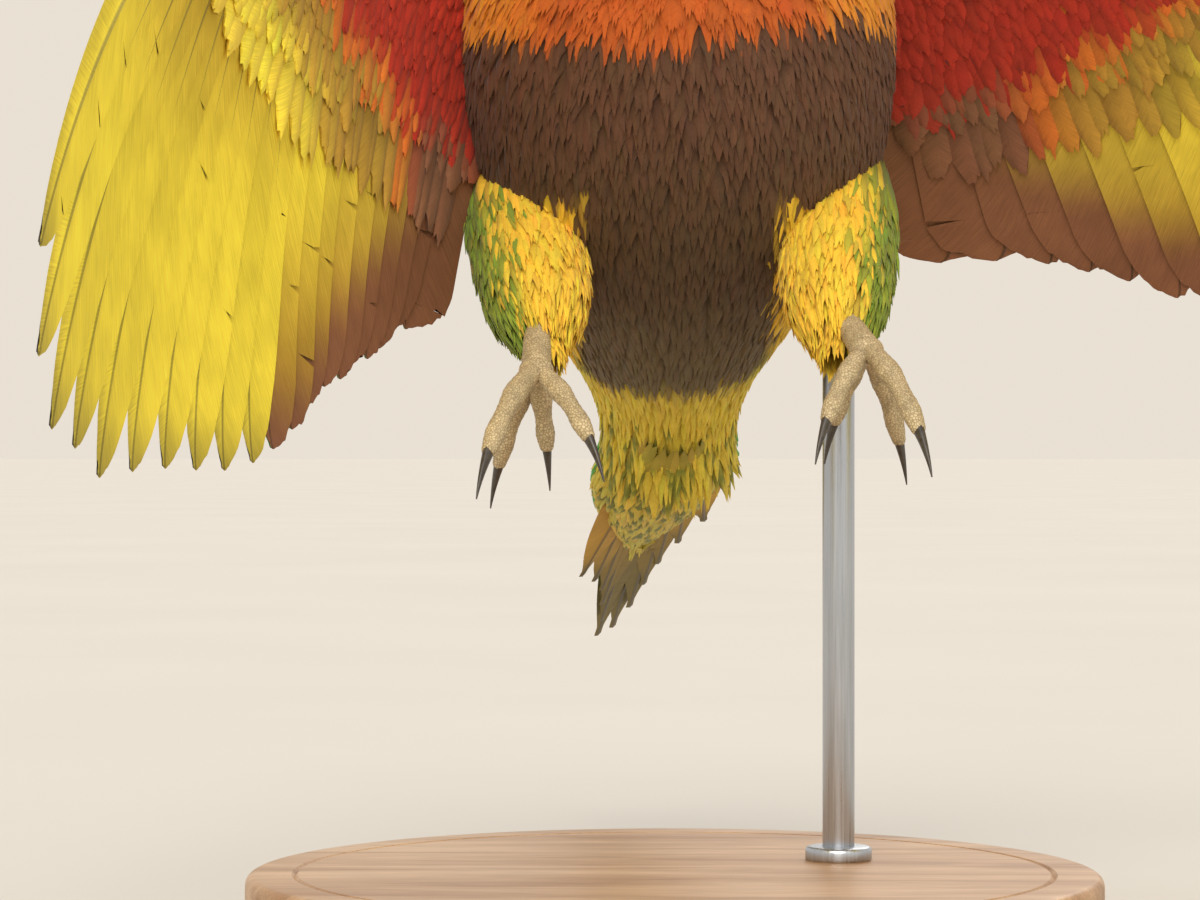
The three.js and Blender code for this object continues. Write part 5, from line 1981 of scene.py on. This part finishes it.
class LORIKEET_OT_stand(bpy.types.Operator):
    """Turns the wooden base and sets the steel rod with its collar"""

    bl_idname = "lorikeet.stand"
    bl_label = "Stand"

    def execute(self, context):
        start_clean()
        bpy.ops.mesh.primitive_cylinder_add(
            vertices=128, radius=BASE_RADIUS * MM, depth=BASE_HEIGHT * MM,
            location=(0, 0, BASE_HEIGHT / 2 * MM),
        )
        base = name_new("stand_disc")
        bpy.ops.object.transform_apply(location=True, rotation=True, scale=True)
        deselect_mesh()
        for face in base.data.polygons:
            face.select = face.normal.z > 0.9
        with edit_mode():
            bpy.ops.mesh.select_mode(type="FACE")
            bpy.ops.mesh.inset(thickness=7 * MM, depth=0)
            bpy.ops.mesh.inset(thickness=0.5 * MM, depth=-0.5 * MM)
            bpy.ops.mesh.inset(thickness=0.5 * MM, depth=0.5 * MM)
            bpy.ops.mesh.select_all(action="DESELECT")
        for edge in base.data.edges:
            ends = [base.data.vertices[i].co for i in edge.vertices]
            level = abs(ends[0].z - ends[1].z) < 1e-6
            edge.select = level and all(abs(end.xy.length - BASE_RADIUS * MM) < 1e-5 for end in ends)
        with edit_mode():
            bpy.ops.mesh.select_mode(type="EDGE")
            bpy.ops.mesh.bevel(offset=BASE_CHAMFER * MM, segments=5, affect="EDGES")
            bpy.ops.mesh.select_mode(type="VERT")
        bpy.ops.object.shade_smooth_by_angle(angle=math.radians(35))
        finish_piece(base, wood_material(), "stand_wood", "stand_base")
        self.rod()
        return {"FINISHED"}

    def rod(self):
        """The steel rod, and the collar that holds it in the base."""
        parts = []
        for radius, low, high, bevel in (
            (ROD_RADIUS, ROD_FOOT, ROD_TOP, 0.3), (5.2, BASE_HEIGHT - 0.3, BASE_HEIGHT + 2.2, 0.7),
        ):
            start_clean()
            bpy.ops.mesh.primitive_cylinder_add(
                vertices=64, radius=radius * MM, depth=(high - low) * MM,
                location=(ROD_X * MM, ROD_Y * MM, (low + high) / 2 * MM),
            )
            bpy.ops.object.transform_apply(location=True, rotation=True, scale=True)
            parts.append(name_new("rod part"))
            apply_modifier(parts[-1], "BEVEL", width=bevel * MM, segments=3, limit_method="ANGLE")
        rod = join_pieces(parts, "stand_post")
        bpy.ops.object.shade_smooth_by_angle(angle=math.radians(40))
        finish_piece(rod, steel_material(), "stand_steel", "stand_rod")


class LORIKEET_OT_stage(bpy.types.Operator):
    """Sets the floor, the soft lights and the camera"""

    bl_idname = "lorikeet.stage"
    bl_label = "Stage"

    def execute(self, context):
        stand = context.scene.lorikeet_stand
        start_clean()
        bpy.ops.mesh.primitive_plane_add(size=FLOOR_SIZE, location=(0, 0, 0))
        floor = context.object
        floor.name = "floor"
        floor.data.materials.append(floor_material())
        self.studio(context.scene)
        for title, toward, spread, power, warm in (
            ("Main light", (-0.12, -1.0, 0.75), 35, 1.0, (1, 0.95, 0.88)),
            ("Fill light", (1.0, -0.9, 0.4), 60, 0.1, (1, 0.97, 0.94)),
            ("Back light", (0.3, 1.0, 0.8), 30, 0.3, (1, 0.97, 0.93)),
        ):
            data = bpy.data.lights.new(title, "SUN")
            data.angle, data.energy, data.color = math.radians(spread), power * stand.key_light, warm
            lamp = bpy.data.objects.new(title, data)
            context.scene.collection.objects.link(lamp)
            lamp.rotation_euler = Vector(toward).to_track_quat("Z", "Y").to_euler()
        data = bpy.data.cameras.new("Camera")
        data.lens, data.sensor_width = LENS, SENSOR_WIDTH
        camera = bpy.data.objects.new("Camera", data)
        context.scene.collection.objects.link(camera)
        camera.location = (CAMERA_X * MM, -stand.camera_distance, stand.camera_height)
        camera.rotation_euler = (math.pi / 2, 0, 0)
        context.scene.camera = camera
        context.scene.view_settings.view_transform = "Standard"
        return {"FINISHED"}

    def studio(self, scene):
        """Pale soft light from all round, a little warmer where the camera sees it."""
        scene.world = bpy.data.worlds.new("Studio")
        scene.world.use_nodes = True
        sheet = Sheet(scene.world.node_tree)
        seen = sheet.add("ShaderNodeLightPath").outputs["Is Camera Ray"]
        sky = sheet.blend((0.8, 0.77, 0.73, 1), (0.82, 0.75, 0.66, 1), seen)
        sheet.fill(sheet.tree.nodes["Background"], {"Color": sky})


# Panel and run


class LORIKEET_PT_panel(bpy.types.Panel):
    """Lists the pieces of the lorikeet and its settings"""

    bl_idname = "LORIKEET_PT_panel"
    bl_label = "Rainbow Lorikeet"
    bl_space_type = "VIEW_3D"
    bl_region_type = "UI"
    bl_category = "Lorikeet"

    def draw(self, context):
        layout = self.layout
        for operator in OPERATORS:
            layout.operator(operator.bl_idname)
        for group_name in GROUPS:
            box = layout.box()
            held = getattr(context.scene, group_name)
            for key in held.bl_rna.properties.keys():
                if key not in ("rna_type", "name"):
                    box.prop(held, key)


GROUPS = {
    "lorikeet_colours": LorikeetPlumageColours,
    "lorikeet_bare": LorikeetBareColours,
    "lorikeet_sizes": LorikeetPlumageSizes,
    "lorikeet_stand": LorikeetStandSettings,
}
OPERATORS = (
    LORIKEET_OT_body_coat,
    LORIKEET_OT_thigh_coat,
    LORIKEET_OT_tail_coat,
    LORIKEET_OT_wing_coat,
    LORIKEET_OT_flight_feathers,
    LORIKEET_OT_tail_feathers,
    LORIKEET_OT_skin,
    LORIKEET_OT_bill,
    LORIKEET_OT_eyes,
    LORIKEET_OT_feet,
    LORIKEET_OT_stand,
    LORIKEET_OT_stage,
)


def register():
    for held in (*GROUPS.values(), *OPERATORS, LORIKEET_PT_panel):
        bpy.utils.register_class(held)
    for group_name, held in GROUPS.items():
        setattr(bpy.types.Scene, group_name, PointerProperty(type=held))


def unregister():
    for group_name in GROUPS:
        delattr(bpy.types.Scene, group_name)
    for held in (LORIKEET_PT_panel, *reversed(OPERATORS), *GROUPS.values()):
        bpy.utils.unregister_class(held)


def main():
    register()
    for operator in OPERATORS:
        family, action = operator.bl_idname.split(".")
        getattr(getattr(bpy.ops, family), action)()


if __name__ == "__main__":
    main()
